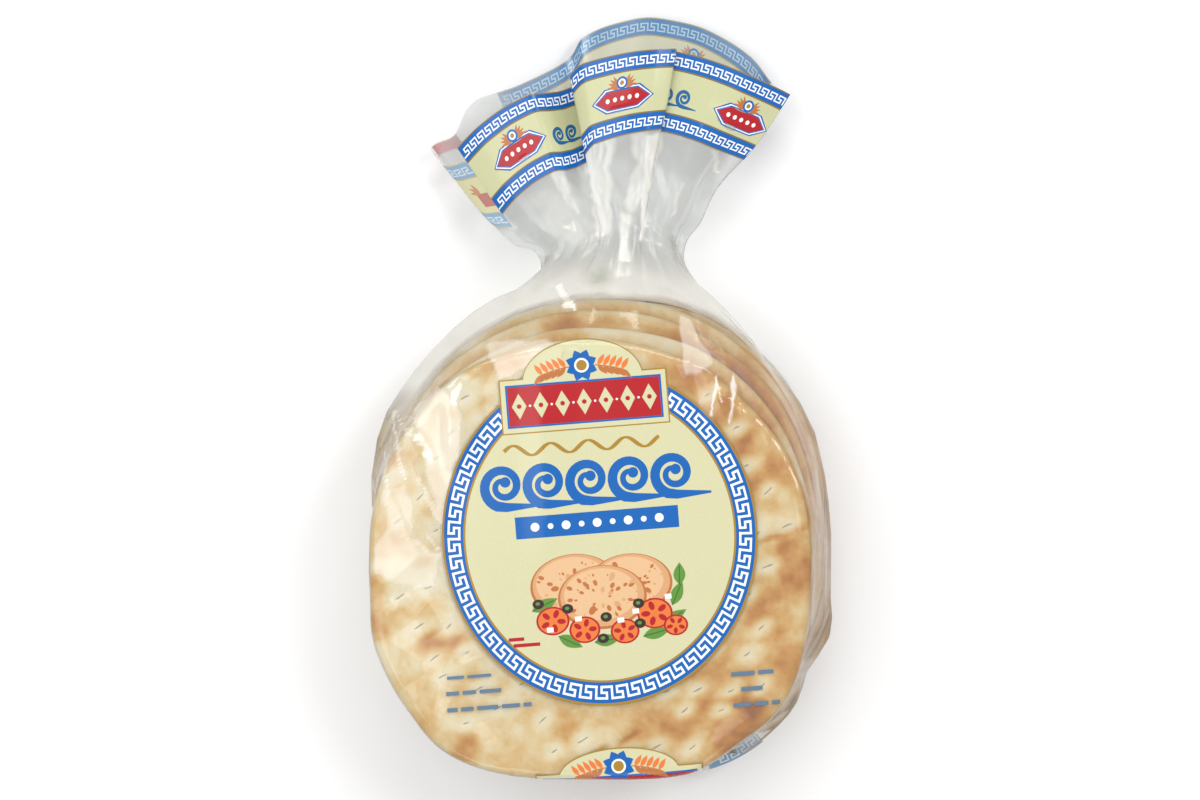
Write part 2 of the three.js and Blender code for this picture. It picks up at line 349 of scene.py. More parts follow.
# ------------ The bag
# A tube of clear polythene film, welded across its closed end, drawn tight over the pile.
# Its neck is gathered and its mouth stands open in a fan of folds. It is worked out as
# two faces, front and back, each a grid from the closed end to the mouth.
FILM_GAP = 0.45
LEAN = np.array([-10.0, -19.0])  # how far the pile has slid by its top
PILE_TALL = BREAD_THICK * len(PILE)
FILM_TOP = 78.0
FILM_LOW = -0.5
SIDE_HEIGHT = 38.0  # where the front of the film meets the back
SQUARE = 9  # how square the film stands over the pile: 2 would be an ellipse
LEAST_GAP = 0.35  # no crease brings the film nearer to a bread or to the table
END_LEFT = 59.0
END_RIGHT = 66.5
BODY_LEFT = 103.0
BODY_RIGHT = 105.5
FRONT_COLUMNS = 241
BACK_COLUMNS = 101
BODY_ROWS = 201
FAN_ROWS = 80
FAN_CENTRE = np.array([6.3, 74.5])
NECK_LEFT = (-43.0, 54.6)  # angle from the fan's centre in degrees, and distance
NECK_RIGHT = (26.8, 49.2)
NECK_FRONT = 45.0
NECK_MIDDLE = 34.0
NECK_BACK = 24.0

# How the film runs round the mouth: angle, height and distance from the fan's centre.
# The front is three panels: the left one dips behind the middle one, which folds back
# over the right one.
FRONT_MOUTH = [
    (-39.7, 29, 122.7), (-34, 34, 124.5), (-27, 38, 126), (-20.4, 40, 126.6), (-17.8, 37, 125),
    (-14.5, 29, 124.5), (-10.2, 26, 126), (-9.4, 29, 127), (-11.4, 38, 128.5), (-11.9, 41, 129.2),
    (-9.1, 46, 133.4), (-4, 49, 135), (1, 50, 137), (5.5, 50, 138.7), (9.6, 47.5, 140.6),
    (9.2, 45.5, 140.4), (5.5, 43, 139.8), (5.8, 41.5, 139.8), (12, 42, 139.6), (18, 42, 139.2),
    (24, 40, 139), (28, 36, 139.8), (32.4, 30, 141.2),
]
BACK_MOUTH = [
    (-39.7, 29, 122.7), (-42, 25, 125), (-44.6, 20, 128), (-43.8, 16, 134), (-38.4, 13, 128.2),
    (-35.8, 12, 132.4), (-33.8, 11, 136), (-30.7, 11, 138), (-27.5, 12, 136), (-22.8, 13, 134.4),
    (-17.3, 14, 135.4), (-12.2, 15, 138), (-9.5, 13, 142.3), (-8.7, 10, 148.5), (-4.1, 8, 153),
    (3.5, 9, 157.8), (12.8, 8, 156.8), (17.2, 8, 154.4), (21.2, 9, 151.9), (24.3, 12, 148.9),
    (27.5, 15, 143.5), (30.4, 22, 141), (32.4, 30, 141.2),
]


def end_reach(run, side):
    """Half width of the film across the pile, run from the middle (0) to the closed end (1)."""
    if side < 0:
        return END_LEFT + (BODY_LEFT - END_LEFT) * (1 - run**3.4) ** 1.1
    bulge = 2.2 * bell((run - 0.44) / 0.1) - 4 * bell((run - 0.64) / 0.1)
    return END_RIGHT + (BODY_RIGHT - END_RIGHT) * (1 - run**3.7) + bulge


def body_stations():
    """Rows of distance along the pile, reach left and right, heights of the front, the back,
    the left edge and the right edge, and squareness."""
    end = -(BREAD_RADIUS + 1.5)
    rows = []
    for t in np.linspace(0, 1, 9)[:-1]:
        rise = math.sin(t * math.pi / 2) ** 0.9
        top = SIDE_HEIGHT + (FILM_TOP - SIDE_HEIGHT) * rise
        low = SIDE_HEIGHT - (SIDE_HEIGHT - FILM_LOW) * rise
        rows.append([end + 0.8 * t, END_LEFT, END_RIGHT, top, low, SIDE_HEIGHT, SIDE_HEIGHT, SQUARE])
    for y in -np.cos(np.linspace(0.1, math.pi / 2, 16)) * (BREAD_RADIUS + 1):
        run = -y / (BREAD_RADIUS + 1)
        left, right = end_reach(run, -1), end_reach(run, 1)
        rows.append([y, left, right, FILM_TOP, FILM_LOW, SIDE_HEIGHT, SIDE_HEIGHT, SQUARE])
    rows += [
        [14, 105.8, 104.4, FILM_TOP, FILM_LOW, 40, SIDE_HEIGHT, 8.5],
        [27, 105.6, 102.6, FILM_TOP, FILM_LOW, 42, SIDE_HEIGHT, 8],
        [46, 101.8, 98.0, FILM_TOP, FILM_LOW, 48, 37, 6.6],
        [60, 96.5, 91.0, FILM_TOP, FILM_LOW, 52, 36, 5.4],
        [70, 90.0, 83.5, FILM_TOP, FILM_LOW, 52, 36, 4.7],
        [79, 83.5, 75.5, FILM_TOP, -0.3, 50, 36, 4.2],
        [88, 75.5, 69.5, 77.6, 0.3, 47, 36, 3.8],
        [96, 67.5, 63.0, 76.0, 2, 44, 36, 3.3],
        [103, 59.0, 56.5, 71.0, 6, 42, 36, 2.9],
        [109, 49.0, 50.5, 64.0, 11, 40, 36, 2.6],
        [115, 34.0, 43.5, 56.0, 17, 38, 36, 2.3],
    ]
    return np.array(rows)


def distances(line):
    """How far along a line of points each of them lies."""
    return np.concatenate([[0], np.cumsum(np.linalg.norm(np.diff(line, axis=0), axis=1))])


def face_row(station, face, columns):
    """One row of film over the body: face 1 is the front, -1 the back."""
    y, left, right, top, low, side_l, side_r, box = station
    turn = np.linspace(-math.pi / 2, math.pi / 2, 400)
    across = np.sign(np.sin(turn)) * np.abs(np.sin(turn)) ** (2 / box)
    rise = np.cos(turn).clip(0) ** (2 / box)
    side = side_l + (side_r - side_l) * (across + 1) / 2
    z = side + ((top if face > 0 else low) - side) * rise
    x = -left + (left + right) * (across + 1) / 2
    run = distances(np.stack([x, z], 1))
    even = np.linspace(0, run[-1], columns)
    x, z = np.interp(even, run, x), np.interp(even, run, z)
    slide = z / PILE_TALL
    return np.stack([x + LEAN[0] * slide, y + LEAN[1] * slide, z], 1)


def mouth_run(folds):
    """How far along the mouth each row of its table lies."""
    angle, height, far = np.array(folds, float).T
    angle = np.radians(angle)
    return distances(np.stack([far * np.sin(angle), far * np.cos(angle), height], 1))


def mouth_line(folds, columns):
    """The mouth's folds with even steps of film, their bends softened."""
    run = mouth_run(folds)
    even = np.linspace(0, run[-1], columns)
    line = np.stack([np.interp(even, run, column) for column in np.array(folds, float).T], 1)
    for _ in range(4):
        line[1:-1] = 0.5 * line[1:-1] + 0.25 * (line[:-2] + line[2:])
    return line


def fan_face(folds, face):
    """The film from the neck to the mouth: rows by columns by xyz."""
    line = mouth_line(folds, FRONT_COLUMNS if face > 0 else BACK_COLUMNS)
    angle, height, far = line.T
    neck_wide = NECK_RIGHT[0] - NECK_LEFT[0]
    share = ((angle - NECK_LEFT[0]) / neck_wide).clip(0, 1)
    left_pull = NECK_LEFT[0] - folds[0][0]
    neck_angle = angle + left_pull * (1 - np.linspace(0, 1, len(line))) ** 3
    neck_share = ((neck_angle - NECK_LEFT[0]) / neck_wide).clip(0, 1)
    near = NECK_LEFT[1] + (NECK_RIGHT[1] - NECK_LEFT[1]) * neck_share
    crown = np.sqrt((1 - (2 * neck_share - 1) ** 2).clip(0))
    lens = NECK_MIDDLE + crown * ((NECK_FRONT if face > 0 else NECK_BACK) - NECK_MIDDLE)
    lens += 0.18 * (height - np.mean(height)) * crown
    rows = []
    for t in np.linspace(0, 1, FAN_ROWS):
        theta = neck_angle + (angle - neck_angle) * min(1.0, t * 1.3)
        theta -= 3.4 * bell((t - 0.36) / 0.22) * share**4
        theta -= 1.2 * math.sin(math.pi * t) * (1 - share) ** 4
        theta += bell((t - 0.09) / 0.085) * (4.6 * (1 - share) ** 2 - 3.2 * share**2)
        theta = np.radians(theta)
        radius = near + (far - near) * t
        x = FAN_CENTRE[0] + radius * np.sin(theta)
        y = FAN_CENTRE[1] + radius * np.cos(theta)
        rows.append(np.stack([x, y, lens + (height - lens) * t * t * (3 - 2 * t)], 1))
    return np.array(rows)


def body_face(face, neck_row):
    """The film over the pile before it is drawn tight, in many close rows."""
    stations = body_stations()
    columns = len(neck_row)
    rows = []
    for a, b in zip(stations[:-1], stations[1:]):
        for t in np.linspace(0, 1, 12, endpoint=False):
            rows.append(face_row(a + (b - a) * t, face, columns))
    last = face_row(stations[-1], face, columns)
    rows += [last + (neck_row - last) * t for t in np.linspace(0, 1, 13)]
    return np.array(rows)


def pile_distance():
    """Distance to the nearest bread on a grid of points, and where that grid starts."""
    low, step = np.array([-125.0, -140.0, -10.0]), 2.5
    counts = (101, 104, 42)
    axes = [low[i] + step * np.arange(counts[i]) for i in range(3)]
    gx, gy, gz = np.meshgrid(*axes, indexing="ij")
    nearest = np.full(counts, 1e3)
    soft = 3.4  # how far each bread's edges are rounded here
    for k, (cx, cy) in enumerate(PILE):
        reach = np.hypot(gx - cx, gy - cy)
        rim = bread_reach(np.arctan2(gy - cy, gx - cx), k)
        out = reach - rim + soft
        up = np.abs(gz - (k + 0.5) * BREAD_THICK) - BREAD_THICK / 2 + soft
        outside = np.hypot(out.clip(0), up.clip(0))
        inside = np.minimum(np.maximum(out, up), 0)
        nearest = np.minimum(nearest, outside + inside - soft)
    return nearest, low, step


pile_field, field_low, field_step = pile_distance()
field_slope = np.stack(np.gradient(pile_field, field_step), -1)


def look_up(points):
    """Distance to the pile at each point, and the direction away from it."""
    spot = (points - field_low) / field_step
    top = np.array(pile_field.shape) - 1.001
    spot = np.clip(spot, 0, top)
    base = spot.astype(int)
    part = spot - base
    gap = 0.0
    away = 0.0
    for corner in range(8):
        bit = np.array([corner & 1, corner >> 1 & 1, corner >> 2 & 1])
        weight = np.prod(np.where(bit, part, 1 - part), axis=-1)
        at = base + bit
        gap = gap + weight * pile_field[at[..., 0], at[..., 1], at[..., 2]]
        away = away + weight[..., None] * field_slope[at[..., 0], at[..., 1], at[..., 2]]
    away = away / np.linalg.norm(away, axis=-1, keepdims=True).clip(1e-6)
    return gap, away


def draw_tight(sheet, rounds):
    """Pulls a face of film tight over the pile, its four borders held."""
    sheet = sheet.copy()
    for _ in range(rounds):
        middle = sheet[1:-1, 1:-1]
        around = (sheet[:-2, 1:-1] + sheet[2:, 1:-1] + sheet[1:-1, :-2] + sheet[1:-1, 2:]) / 4
        middle = middle + 0.9 * (around - middle)
        gap, away = look_up(middle)
        short = (FILM_GAP - gap).clip(0)
        middle = middle + short[..., None] * away
        middle[..., 2] = middle[..., 2].clip(LEAST_GAP, None)
        sheet[1:-1, 1:-1] = middle
    return sheet


def tighten(sheet):
    """Draws a face tight on every second row and column first, then on all of them."""
    coarse_rounds, fine_rounds = ((320, 110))
    coarse = draw_tight(sheet[::2, ::2], coarse_rounds)
    fine = sheet.copy()
    fine[::2, ::2] = coarse
    fine[1::2, ::2] = (coarse[:-1] + coarse[1:]) / 2
    fine[:, 1::2] = (fine[:, :-1:2] + fine[:, 2::2]) / 2
    fine[0], fine[-1] = sheet[0], sheet[-1]
    fine[:, 0], fine[:, -1] = sheet[:, 0], sheet[:, -1]
    return draw_tight(fine, fine_rounds)


def soften_neck(sheet):
    """Rounds the film's waist at the neck along its length."""
    sheet = sheet.copy()
    pull = 0.5 * bell((np.arange(len(sheet)) - NECK_ROW) / 8.0)[1:-1, None, None]
    for _ in range(24):
        sheet[1:-1] += pull * ((sheet[:-2] + sheet[2:]) / 2 - sheet[1:-1])
    return sheet


NECK_ROW = BODY_ROWS - 1
front_fan = fan_face(FRONT_MOUTH, 1)
back_fan = fan_face(BACK_MOUTH, -1)
front_dense = body_face(1, front_fan[0])
back_dense = body_face(-1, back_fan[0])
steps = np.linalg.norm(np.diff(front_dense[:, FRONT_COLUMNS // 2], axis=0), axis=1)
steps += np.linalg.norm(np.diff(front_dense[:, 0], axis=0), axis=1)
row_run = np.concatenate([[0], np.cumsum(steps)])
row_at = np.interp(np.linspace(0, row_run[-1], BODY_ROWS), row_run, np.arange(len(row_run)))
row_low = np.minimum(row_at.astype(int), len(row_run) - 2)
row_part = (row_at - row_low)[:, None, None]
front_body = front_dense[row_low] * (1 - row_part) + front_dense[row_low + 1] * row_part
back_body = back_dense[row_low] * (1 - row_part) + back_dense[row_low + 1] * row_part
front_film = soften_neck(np.concatenate([tighten(front_body)[:-1], front_fan]))
back_film = soften_neck(np.concatenate([tighten(back_body)[:-1], back_fan]))


def sheet_normals(sheet, face):
    """Outward directions over a face of film."""
    down = np.gradient(sheet, axis=0)
    over = np.gradient(sheet, axis=1)
    normal = np.cross(over, down) * face
    return normal / np.linalg.norm(normal, axis=-1, keepdims=True).clip(1e-9)


def fold(x):
    """A fold's cross-section: a crest with one steep and one gentle flank."""
    return np.where(x < 0, 1 + x, 1 - x / 2.2).clip(0)


def crinkle(x, y, size, seed):
    """Small flat facets meeting in sharp lines, between 0 and 1 high."""
    heights = np.random.default_rng(seed).uniform(0, 1, (64, 64))
    warp = 0.55 * size
    x = x + warp * patchy(x, y, size * 1.9, seed + 1)
    y = y + warp * patchy(x, y, size * 1.9, seed + 2)
    skew = y / size * 1.1547
    run = x / size + skew / 2
    iu, iv = np.floor(run).astype(int), np.floor(skew).astype(int)
    fu, fv = run - iu, skew - iv
    a, b = heights[iu % 64, iv % 64], heights[(iu + 1) % 64, iv % 64]
    c, d = heights[iu % 64, (iv + 1) % 64], heights[(iu + 1) % 64, (iv + 1) % 64]
    near = a + fu * (b - a) + fv * (c - a)
    far = d + (1 - fu) * (c - d) + (1 - fv) * (b - d)
    return np.where(fu + fv < 1, near, far)


def tent(sheet, line):
    """A crease along a line over the pack: a crest with a flat flank on either side."""
    *ends, lift, left_flank, right_flank = line
    along, off = run_beside(sheet[..., 0], sheet[..., 1], *ends)
    flank = np.where(off > 0, 1 - off / left_flank, 1 + off / right_flank).clip(0)
    return lift * flank * (np.minimum(along, 1 - along) / 0.3 + 0.05).clip(0, 1)


# Creases over the front of the body: from x, y to x, y, height, left and right flank.
FRONT_CREASES = [
    (-74, 62, -73, 20, 2.9, 15, 5), (-101, 50, -80, 18, 1.6, 6, 12), (-97, 36, -77, -8, 1.8, 10, 12),
    (-107, 24, -88, -18, 1.5, 12, 9), (-106, -34, -79, -12, 1.6, 14, 8), (-70, 78, -84, 42, 2.0, 9, 14),
    (-52, 92, -66, 60, 1.6, 8, 10), (-34, 74, -30, -24, 0.9, 16, 9), (-20, 96, -24, 62, 1.4, 8, 10),
    (31, 92, 46, 60, 2.0, 9, 13), (43, 76, 50, 38, 1.8, 6, 9), (53, 74, 60, 34, 1.6, 6, 8),
    (66, 66, 84, 22, 1.8, 9, 11), (84, 36, 92, -22, 1.6, 9, 7), (94, 8, 97, -60, 1.4, 6, 8),
    (40, 98, 78, 62, 2.0, 7, 9), (22, 104, 40, 84, 1.8, 6, 8), (33, 89, 44, 67, 1.2, 3, 3),
    (37, 84, 33, 66, 0.9, 3, 3), (35, 74, 45, 70, 0.8, 2, 4), (-8, 108, -10, 86, 1.6, 6, 6),
    (8, 108, 12, 84, 1.8, 5, 8), (-60, -96, -30, -112, 1.0, 9, 9), (40, -108, 72, -84, 1.2, 8, 9),
]


# Where the film is crushed into small bright facets: x, y, radius, height.
CRUSHED = [
    (46, 76, 9, 0.9), (52, 56, 8, 0.8), (58, 48, 7, 0.7), (66, 36, 7, 0.5), (36, 92, 7, 0.8),
    (-14, 100, 9, 1.0), (-26, 94, 8, 0.8), (-44, 88, 8, 0.6), (-70, 68, 8, 0.5), (-96, 40, 8, 0.6),
    (74, -40, 10, 0.4), (-98, -40, 8, 0.4), (14, 162, 8, 0.7), (-7, 160, 6, 0.5), (5, 131, 6, 0.8),
    (-20, 133, 6, 0.5),
]


def neck_run(sheet):
    """Distance of each row from the neck along the film's middle, less than 0 on the body."""
    run = distances(sheet[:, sheet.shape[1] // 2])
    return run - run[NECK_ROW]


def gathers(sheet, seed):
    """Pleats that run out of the neck, down over the body and up into the fan."""
    draw = np.random.default_rng(seed)
    rows, columns = sheet.shape[:2]
    along = neck_run(sheet)[:, None]
    across = np.linspace(0, 1, columns)[None, :]
    lift = np.zeros((rows, columns))
    for _ in range(36):
        at = draw.uniform(0.03, 0.97)
        wide = draw.uniform(0.016, 0.05)
        drift = draw.uniform(-0.0012, 0.0012)
        long_body, long_fan = draw.uniform(8, 24), draw.uniform(12, 60)
        tall = draw.uniform(0.2, 1.1)
        side = draw.choice([-1, 1])
        fade = bell(along / np.where(along < 0, long_body, long_fan))
        spread = wide * (1 + 0.014 * np.abs(along))
        lift += tall * fade * fold(side * (across - at - drift * along) / spread)
    return lift - 0.9 * lift.mean(axis=1, keepdims=True)


def crumple(sheet, face, seed):
    """The face of film with its pleats, creases and fine facets."""
    rows, columns = sheet.shape[:2]
    along = neck_run(sheet)[:, None] + 0 * sheet[..., 0]
    fan = (along / 10).clip(0, 1)
    gap, _ = look_up(sheet)
    slack = ((gap - 1.2) / 9).clip(0, 1) * (1 - fan)
    wide = sheet[..., 0] * (1 - fan) + fan * np.linspace(-100, 100, columns)[None, :]
    lift = gathers(sheet, seed) * (0.1 + 0.9 * np.maximum(slack, 0.55 * fan))
    low_fan = fan * (1 - along / 65).clip(0, 1)
    lift += (0.08 + 1.5 * slack + 0.4 * fan + 0.9 * low_fan) * (crinkle(wide, along, 27, seed + 10) - 0.5)
    lift += (0.05 + 0.5 * slack + 0.08 * fan + 0.7 * low_fan) * (crinkle(wide, along, 11, seed + 20) - 0.5)
    if face > 0:
        for line in FRONT_CREASES:
            lift += tent(sheet, line) * (1 - fan)
        fine = crinkle(sheet[..., 0], sheet[..., 1], 5, seed + 30)
        for x, y, radius, height in CRUSHED:
            near = bell((sheet[..., 0] - x) / radius, (sheet[..., 1] - y) / radius)
            lift += height * fine * near * (1 - fan)
    edges = (np.minimum(np.arange(columns), columns - 1 - np.arange(columns)) / 12).clip(0, 1)
    start = (np.arange(rows) / 11).clip(0, 1)[:, None]
    lift = lift * edges[None, :] * start
    sheet = sheet + lift[..., None] * sheet_normals(sheet, face)
    gap, away = look_up(sheet)
    return sheet + (LEAST_GAP - gap).clip(0)[..., None] * away


front_film = crumple(front_film, 1, 5)
back_film = crumple(back_film, -1, 6)
back_film[..., 2] = back_film[..., 2].clip(0.4, None)


def sew(front, back):
    """One tube of film from the two faces, joined along both sides."""
    loop = np.concatenate([front, back[:, -2:0:-1]], axis=1)
    rows, around = loop.shape[:2]
    faces = []
    for r in range(rows - 1):
        for c in range(around):
            n = (c + 1) % around
            a, b = r * around, (r + 1) * around
            faces.append((a + c, a + n, b + n, b + c))
    return loop.reshape(-1, 3), faces


film_points, film_faces = sew(front_film, back_film)
bag = mesh_object("bag_film", film_points, film_faces)


# Facets where the drawn film turns pale: painted glare of the lamps on crumpled film, partly real
# milkiness. How pale, how soft the rim is, and the corners.
GLARE_FACETS = [
    (0.46, 2, [(-89, 48), (-78, 57), (-72, 52), (-69, 44), (-70, 29), (-73, 21), (-75, 7), (-77, -3),
               (-81, 12), (-85, 30)]),
    (0.34, 1.5, [(-104, 11), (-94, 14), (-91, 4), (-91, -8), (-83, -16), (-78, -18), (-81, -31),
                 (-98, -31), (-107, -25), (-108, -15), (-101, -5)]),
    (0.45, 0.8, [(-88, 19), (-86, 17), (-83, 9), (-80, 4), (-75.6, -2), (-76.2, -5), (-81, 0), (-85, 8)]),
    (0.45, 1, [(-96, -9.2), (-95.6, -8.4), (-77.4, -18.2), (-77.8, -19)]),
    (0.45, 1, [(-84, -8.9), (-83.2, -8.4), (-77.2, -15.4), (-77.8, -16)]),
    (0.42, 1.5, [(-57, 77), (-42, 78), (-27, 78), (-36, 72), (-38, 67), (-52, 62), (-53, 68)]),
    (0.42, 1.5, [(31, 90), (36, 88), (38, 79), (44, 72), (45, 68), (34, 64), (32, 68), (31, 83)]),
    (0.8, 0.6, [(46.2, 63), (47, 63), (45.6, 54), (43.9, 45), (43.4, 45), (45, 54)]),
    (0.8, 0.6, [(53.6, 63), (54.2, 64), (54.8, 58), (53.6, 52), (53, 42), (52.6, 42), (53, 55)]),
    (0.6, 0.7, [(-101, 47), (-100.2, 46.6), (-93.4, 16), (-94.2, 16)]),
    (0.6, 0.7, [(-100.6, 47.4), (-81, 25.6), (-81.6, 25)]),
    (0.5, 0.7, [(-90.5, 45), (-76, 23.4), (-76.6, 23)]),
    (0.5, 0.7, [(-104, 30), (-103.4, 30), (-100, 2), (-100.6, 2)]),
    (0.95, 0.8, [(-22.5, 95), (-20.5, 97), (-18, 95), (-17.5, 92), (-20.5, 93.5)]),
    (0.7, 0.8, [(-25.5, 104), (-24, 104.5), (-20.5, 98), (-21.5, 97.5)]),
    (0.2, 5, [(-100, 45), (-90, 52), (-92, 30), (-100, 10), (-106, 20)]),
    (0.4, 6, [(60, 96), (74, 84), (86, 66), (92, 50), (84, 60), (70, 78)]),
    (0.58, 2, [(-13, 170), (-1, 172), (0, 166), (-3, 156), (-2, 147), (-3, 128), (-7, 128), (-9, 150),
               (-12, 161)]),
    (0.57, 2, [(9, 173), (21, 173), (21, 168), (18, 163), (16, 155), (13, 146), (9, 139), (6, 142),
               (9, 153), (13, 161), (10, 166)]),
    (0.46, 2.2, [(4, 137), (7.5, 137), (7, 128), (6.5, 116), (4, 116), (5, 127)]),
    (0.54, 1.5, [(-28, 157), (-24.5, 161), (-21, 150), (-18, 142), (-16, 138), (-19.4, 140), (-23.5, 148)]),
    (0.9, 0.7, [(-22.5, 130.6), (-18.4, 134), (-17.2, 130), (-20, 131)]),
    (0.62, 0.9, [(18, 163), (19, 162), (15.4, 147), (14, 135), (13.3, 126), (12.7, 126), (13, 138)]),
    (0.7, 0.9, [(46, 166), (47, 166), (49, 156.5), (48, 156.5)]),
    (0.36, 0.9, [(31, 152), (32, 152), (28.4, 140), (27.8, 137), (27, 137), (29.4, 146)]),
    (0.1, 3, [(-38, 146), (-28, 147), (-18, 138), (-11, 124), (-13, 120), (-25.5, 130)]),
]


def patch(x, y, corners, soft):
    """1 inside the outline with these corners, easing to 0 over a soft rim outside it."""
    gap = np.full(x.shape, 1e9)
    inside = np.zeros(x.shape, bool)
    for (x1, y1), (x2, y2) in zip(corners, corners[1:] + corners[:1]):
        dx, dy = x2 - x1, y2 - y1
        t = (((x - x1) * dx + (y - y1) * dy) / (dx * dx + dy * dy)).clip(0, 1)
        gap = np.minimum(gap, np.hypot(x - x1 - t * dx, y - y1 - t * dy))
        if dy:
            inside ^= ((y1 > y) != (y2 > y)) & (x < x1 + (y - y1) * dx / dy)
    return np.where(inside, 1, (1 - gap / soft).clip(0, 1))


def film_finish():
    """Clear film: a mirror skin of small flat facets over clear film with a milky share."""
    finish, milk = new_finish("clear_film", 0.35)
    clear = add(finish, "BsdfTransparent", Color=(0.96, 0.965, 0.96, 1))
    # The milk whitens as the pale number rises: painted light on the free film and painted glare on the
    # facets.
    stops = ((0, "#b3b5b2"), (0.5, "#d6d3ca"), (0.7, "#e9ebe9"), (1, "#f4ebdf"))
    stops = [(at, shade(colour)) for at, colour in stops]
    colour_by(finish, milk, read_number(finish, "pale"), stops)
    haze = read_number(finish, "haze")
    body = add(finish, "MixShader", {"Fac": haze, 1: clear.outputs[0], 2: milk.outputs[0]})
    where = add(finish, "TexCoord").outputs["Object"]
    upright = add(finish, "NewGeometry").outputs["Normal"]
    for scale, name, steep in ((75, "loose", 0.22), (300, "crushed", 0.5)):
        cells = add(finish, "TexVoronoi", Vector=where, Scale=scale)
        sockets = {0: cells.outputs["Color"], 1: (0.5, 0.5, 0.5)}
        centred = add(finish, "VectorMath", sockets, "SUBTRACT")
        amount = add(finish, "Math", {0: read_number(finish, name), 1: steep}, "MULTIPLY")
        sockets = {0: centred.outputs[0], "Scale": amount.outputs[0]}
        tilt = add(finish, "VectorMath", sockets, "SCALE")
        upright = add(finish, "VectorMath", {0: upright, 1: tilt.outputs[0]}, "ADD").outputs[0]
    facing = add(finish, "VectorMath", {0: upright}, "NORMALIZE").outputs[0]
    satin = read_number(finish, "satin")
    mirror = add(finish, "BsdfAnisotropic", Color=(1, 1, 1, 1), Roughness=satin, Normal=facing)
    edge = add(finish, "Fresnel", IOR=1.52, Normal=facing)
    skin = add(finish, "MixShader", {"Fac": edge.outputs[0], 1: body.outputs[0], 2: mirror.outputs[0]})
    output = finish.node_tree.nodes["Material Output"]
    finish.node_tree.links.new(skin.outputs[0], output.inputs["Surface"])
    return finish


def film_looks(points, along, front):
    """How hazy, pale, loose and crushed the film is at each point, by name."""
    x, y = points[:, 0], points[:, 1]
    gap, _ = look_up(points)
    overhang = np.full(len(points), 1e3)
    for k, (cx, cy) in enumerate(PILE):
        rim = bread_reach(np.arctan2(y - cy, x - cx), k)
        overhang = np.minimum(overhang, np.hypot(x - cx, y - cy) - rim)
    in_fan = ((along + 22) / 26).clip(0, 1)
    free = ((overhang + 2.2) / 4.5).clip(0, 1) * ((y - 35) / 25).clip(0, 1) * (1 - in_fan)
    loose = ((gap - 2) / 8).clip(0, 1) * (1 - in_fan)
    near_mouth = ((along - 45) / 20).clip(0, 1)
    haze = 0.05 + 0.08 * loose + 0.86 * free + np.where(front, 0.48, 0.36 - 0.26 * near_mouth) * in_fan
    haze += 0.1 * bell(along / 14) + 0.07 * patchy(x, along, 7, 8) * np.maximum(free, in_fan)
    left_ear = np.maximum(bell((x + 72) / 16, (y - 176) / 18), bell((x + 60) / 15, (y - 187) / 14))
    haze += np.where(front, 0, 0.52) * left_ear * in_fan
    haze *= 1 - 0.55 * bell((x + 6) / 6, (y - 108.5) / 4)  # the tag shows through here
    # Whiter milk where the film stands free over the shoulders: painted light, lifting the shade on its
    # steep slopes.
    pale = 0.5 * free * (1 - 0.7 * bell(along / 16))
    crushed = np.zeros(len(points))
    wx, wy = x + 1.1 * patchy(x, y, 4, 24), y + 1.1 * patchy(x, y, 4, 25)
    streaky = 1 - in_fan * (0.1 - 0.2 * patchy(3 * wx, 0.5 * wy, 5, 26)).clip(0, 0.3)
    # The listed facets get more haze and whiter milk: painted glare.
    for strength, soft, corners in GLARE_FACETS:
        inside = strength * patch(wx, wy, corners, soft) * front * (points[:, 2] > 30 - 10 * in_fan)
        haze = np.maximum(haze, inside * streaky)
        pale = np.maximum(pale, (inside / 0.4).clip(0, 1) * streaky * (1 - 0.35 * in_fan))
    for cx, cy, radius, height in CRUSHED:
        near = bell((x - cx) / radius, (y - cy) / radius)
        crushed = np.maximum(crushed, height * near * front)
    near_neck = bell((along - 12) / 16) * (0.4 + patchy(x, y, 9, 23)).clip(0, 1)
    crushed = np.maximum(crushed, 0.5 * near_neck)
    return {
        "haze": haze.clip(0, 0.97),
        "pale": pale.clip(0, 1),
        "loose": 0.3 + 0.6 * loose,
        "crushed": crushed,
        "satin": 0.13 + 0.17 * in_fan,
    }


bag.data.materials.append(film_finish())
film_columns = FRONT_COLUMNS + BACK_COLUMNS - 2
film_along = np.repeat(neck_run(front_film), film_columns)
film_front = np.arange(len(film_points)) % film_columns < FRONT_COLUMNS
for name, numbers in film_looks(film_points, film_along, film_front).items():
    point_numbers(bag, name, numbers)
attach(bag, "root")
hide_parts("bag")
bag.visible_shadow = False  # so thin a film keeps hardly any light from what lies under it


# ------------ The round label
# Opaque inks printed straight on the film: a cream disc in a blue ring with a Greek key,
# a red banner at the head, blue scrolls and a bar, and a picture of breads with tomatoes
# and olives. Small grey-blue bars stand to either side under the ring.
LABEL_CENTRE = np.array([-5.7, -14.0])
LABEL_TURN = math.radians(4.5)
RING_STRETCH = 1.074  # the film is drawn out along the bag, and the ring with it
RING_RISE = 4.9
INK_LIFT = 0.12
KEY_TURNS = 58  # turns of the Greek key round the ring
LOZENGES = 7  # along the banner's field
inks = {}


def ink(name, colour):
    """A printing ink: opaque, faintly uneven, with the gloss of the film it lies on."""
    tones = [(*(min(1.0, c * share) for c in shade(colour)[:3]), 1) for share in (0.9, 1.1)]
    inks[name] = grained("ink_" + name, tones, 260, 0.2, 0.35, 5)
    return name


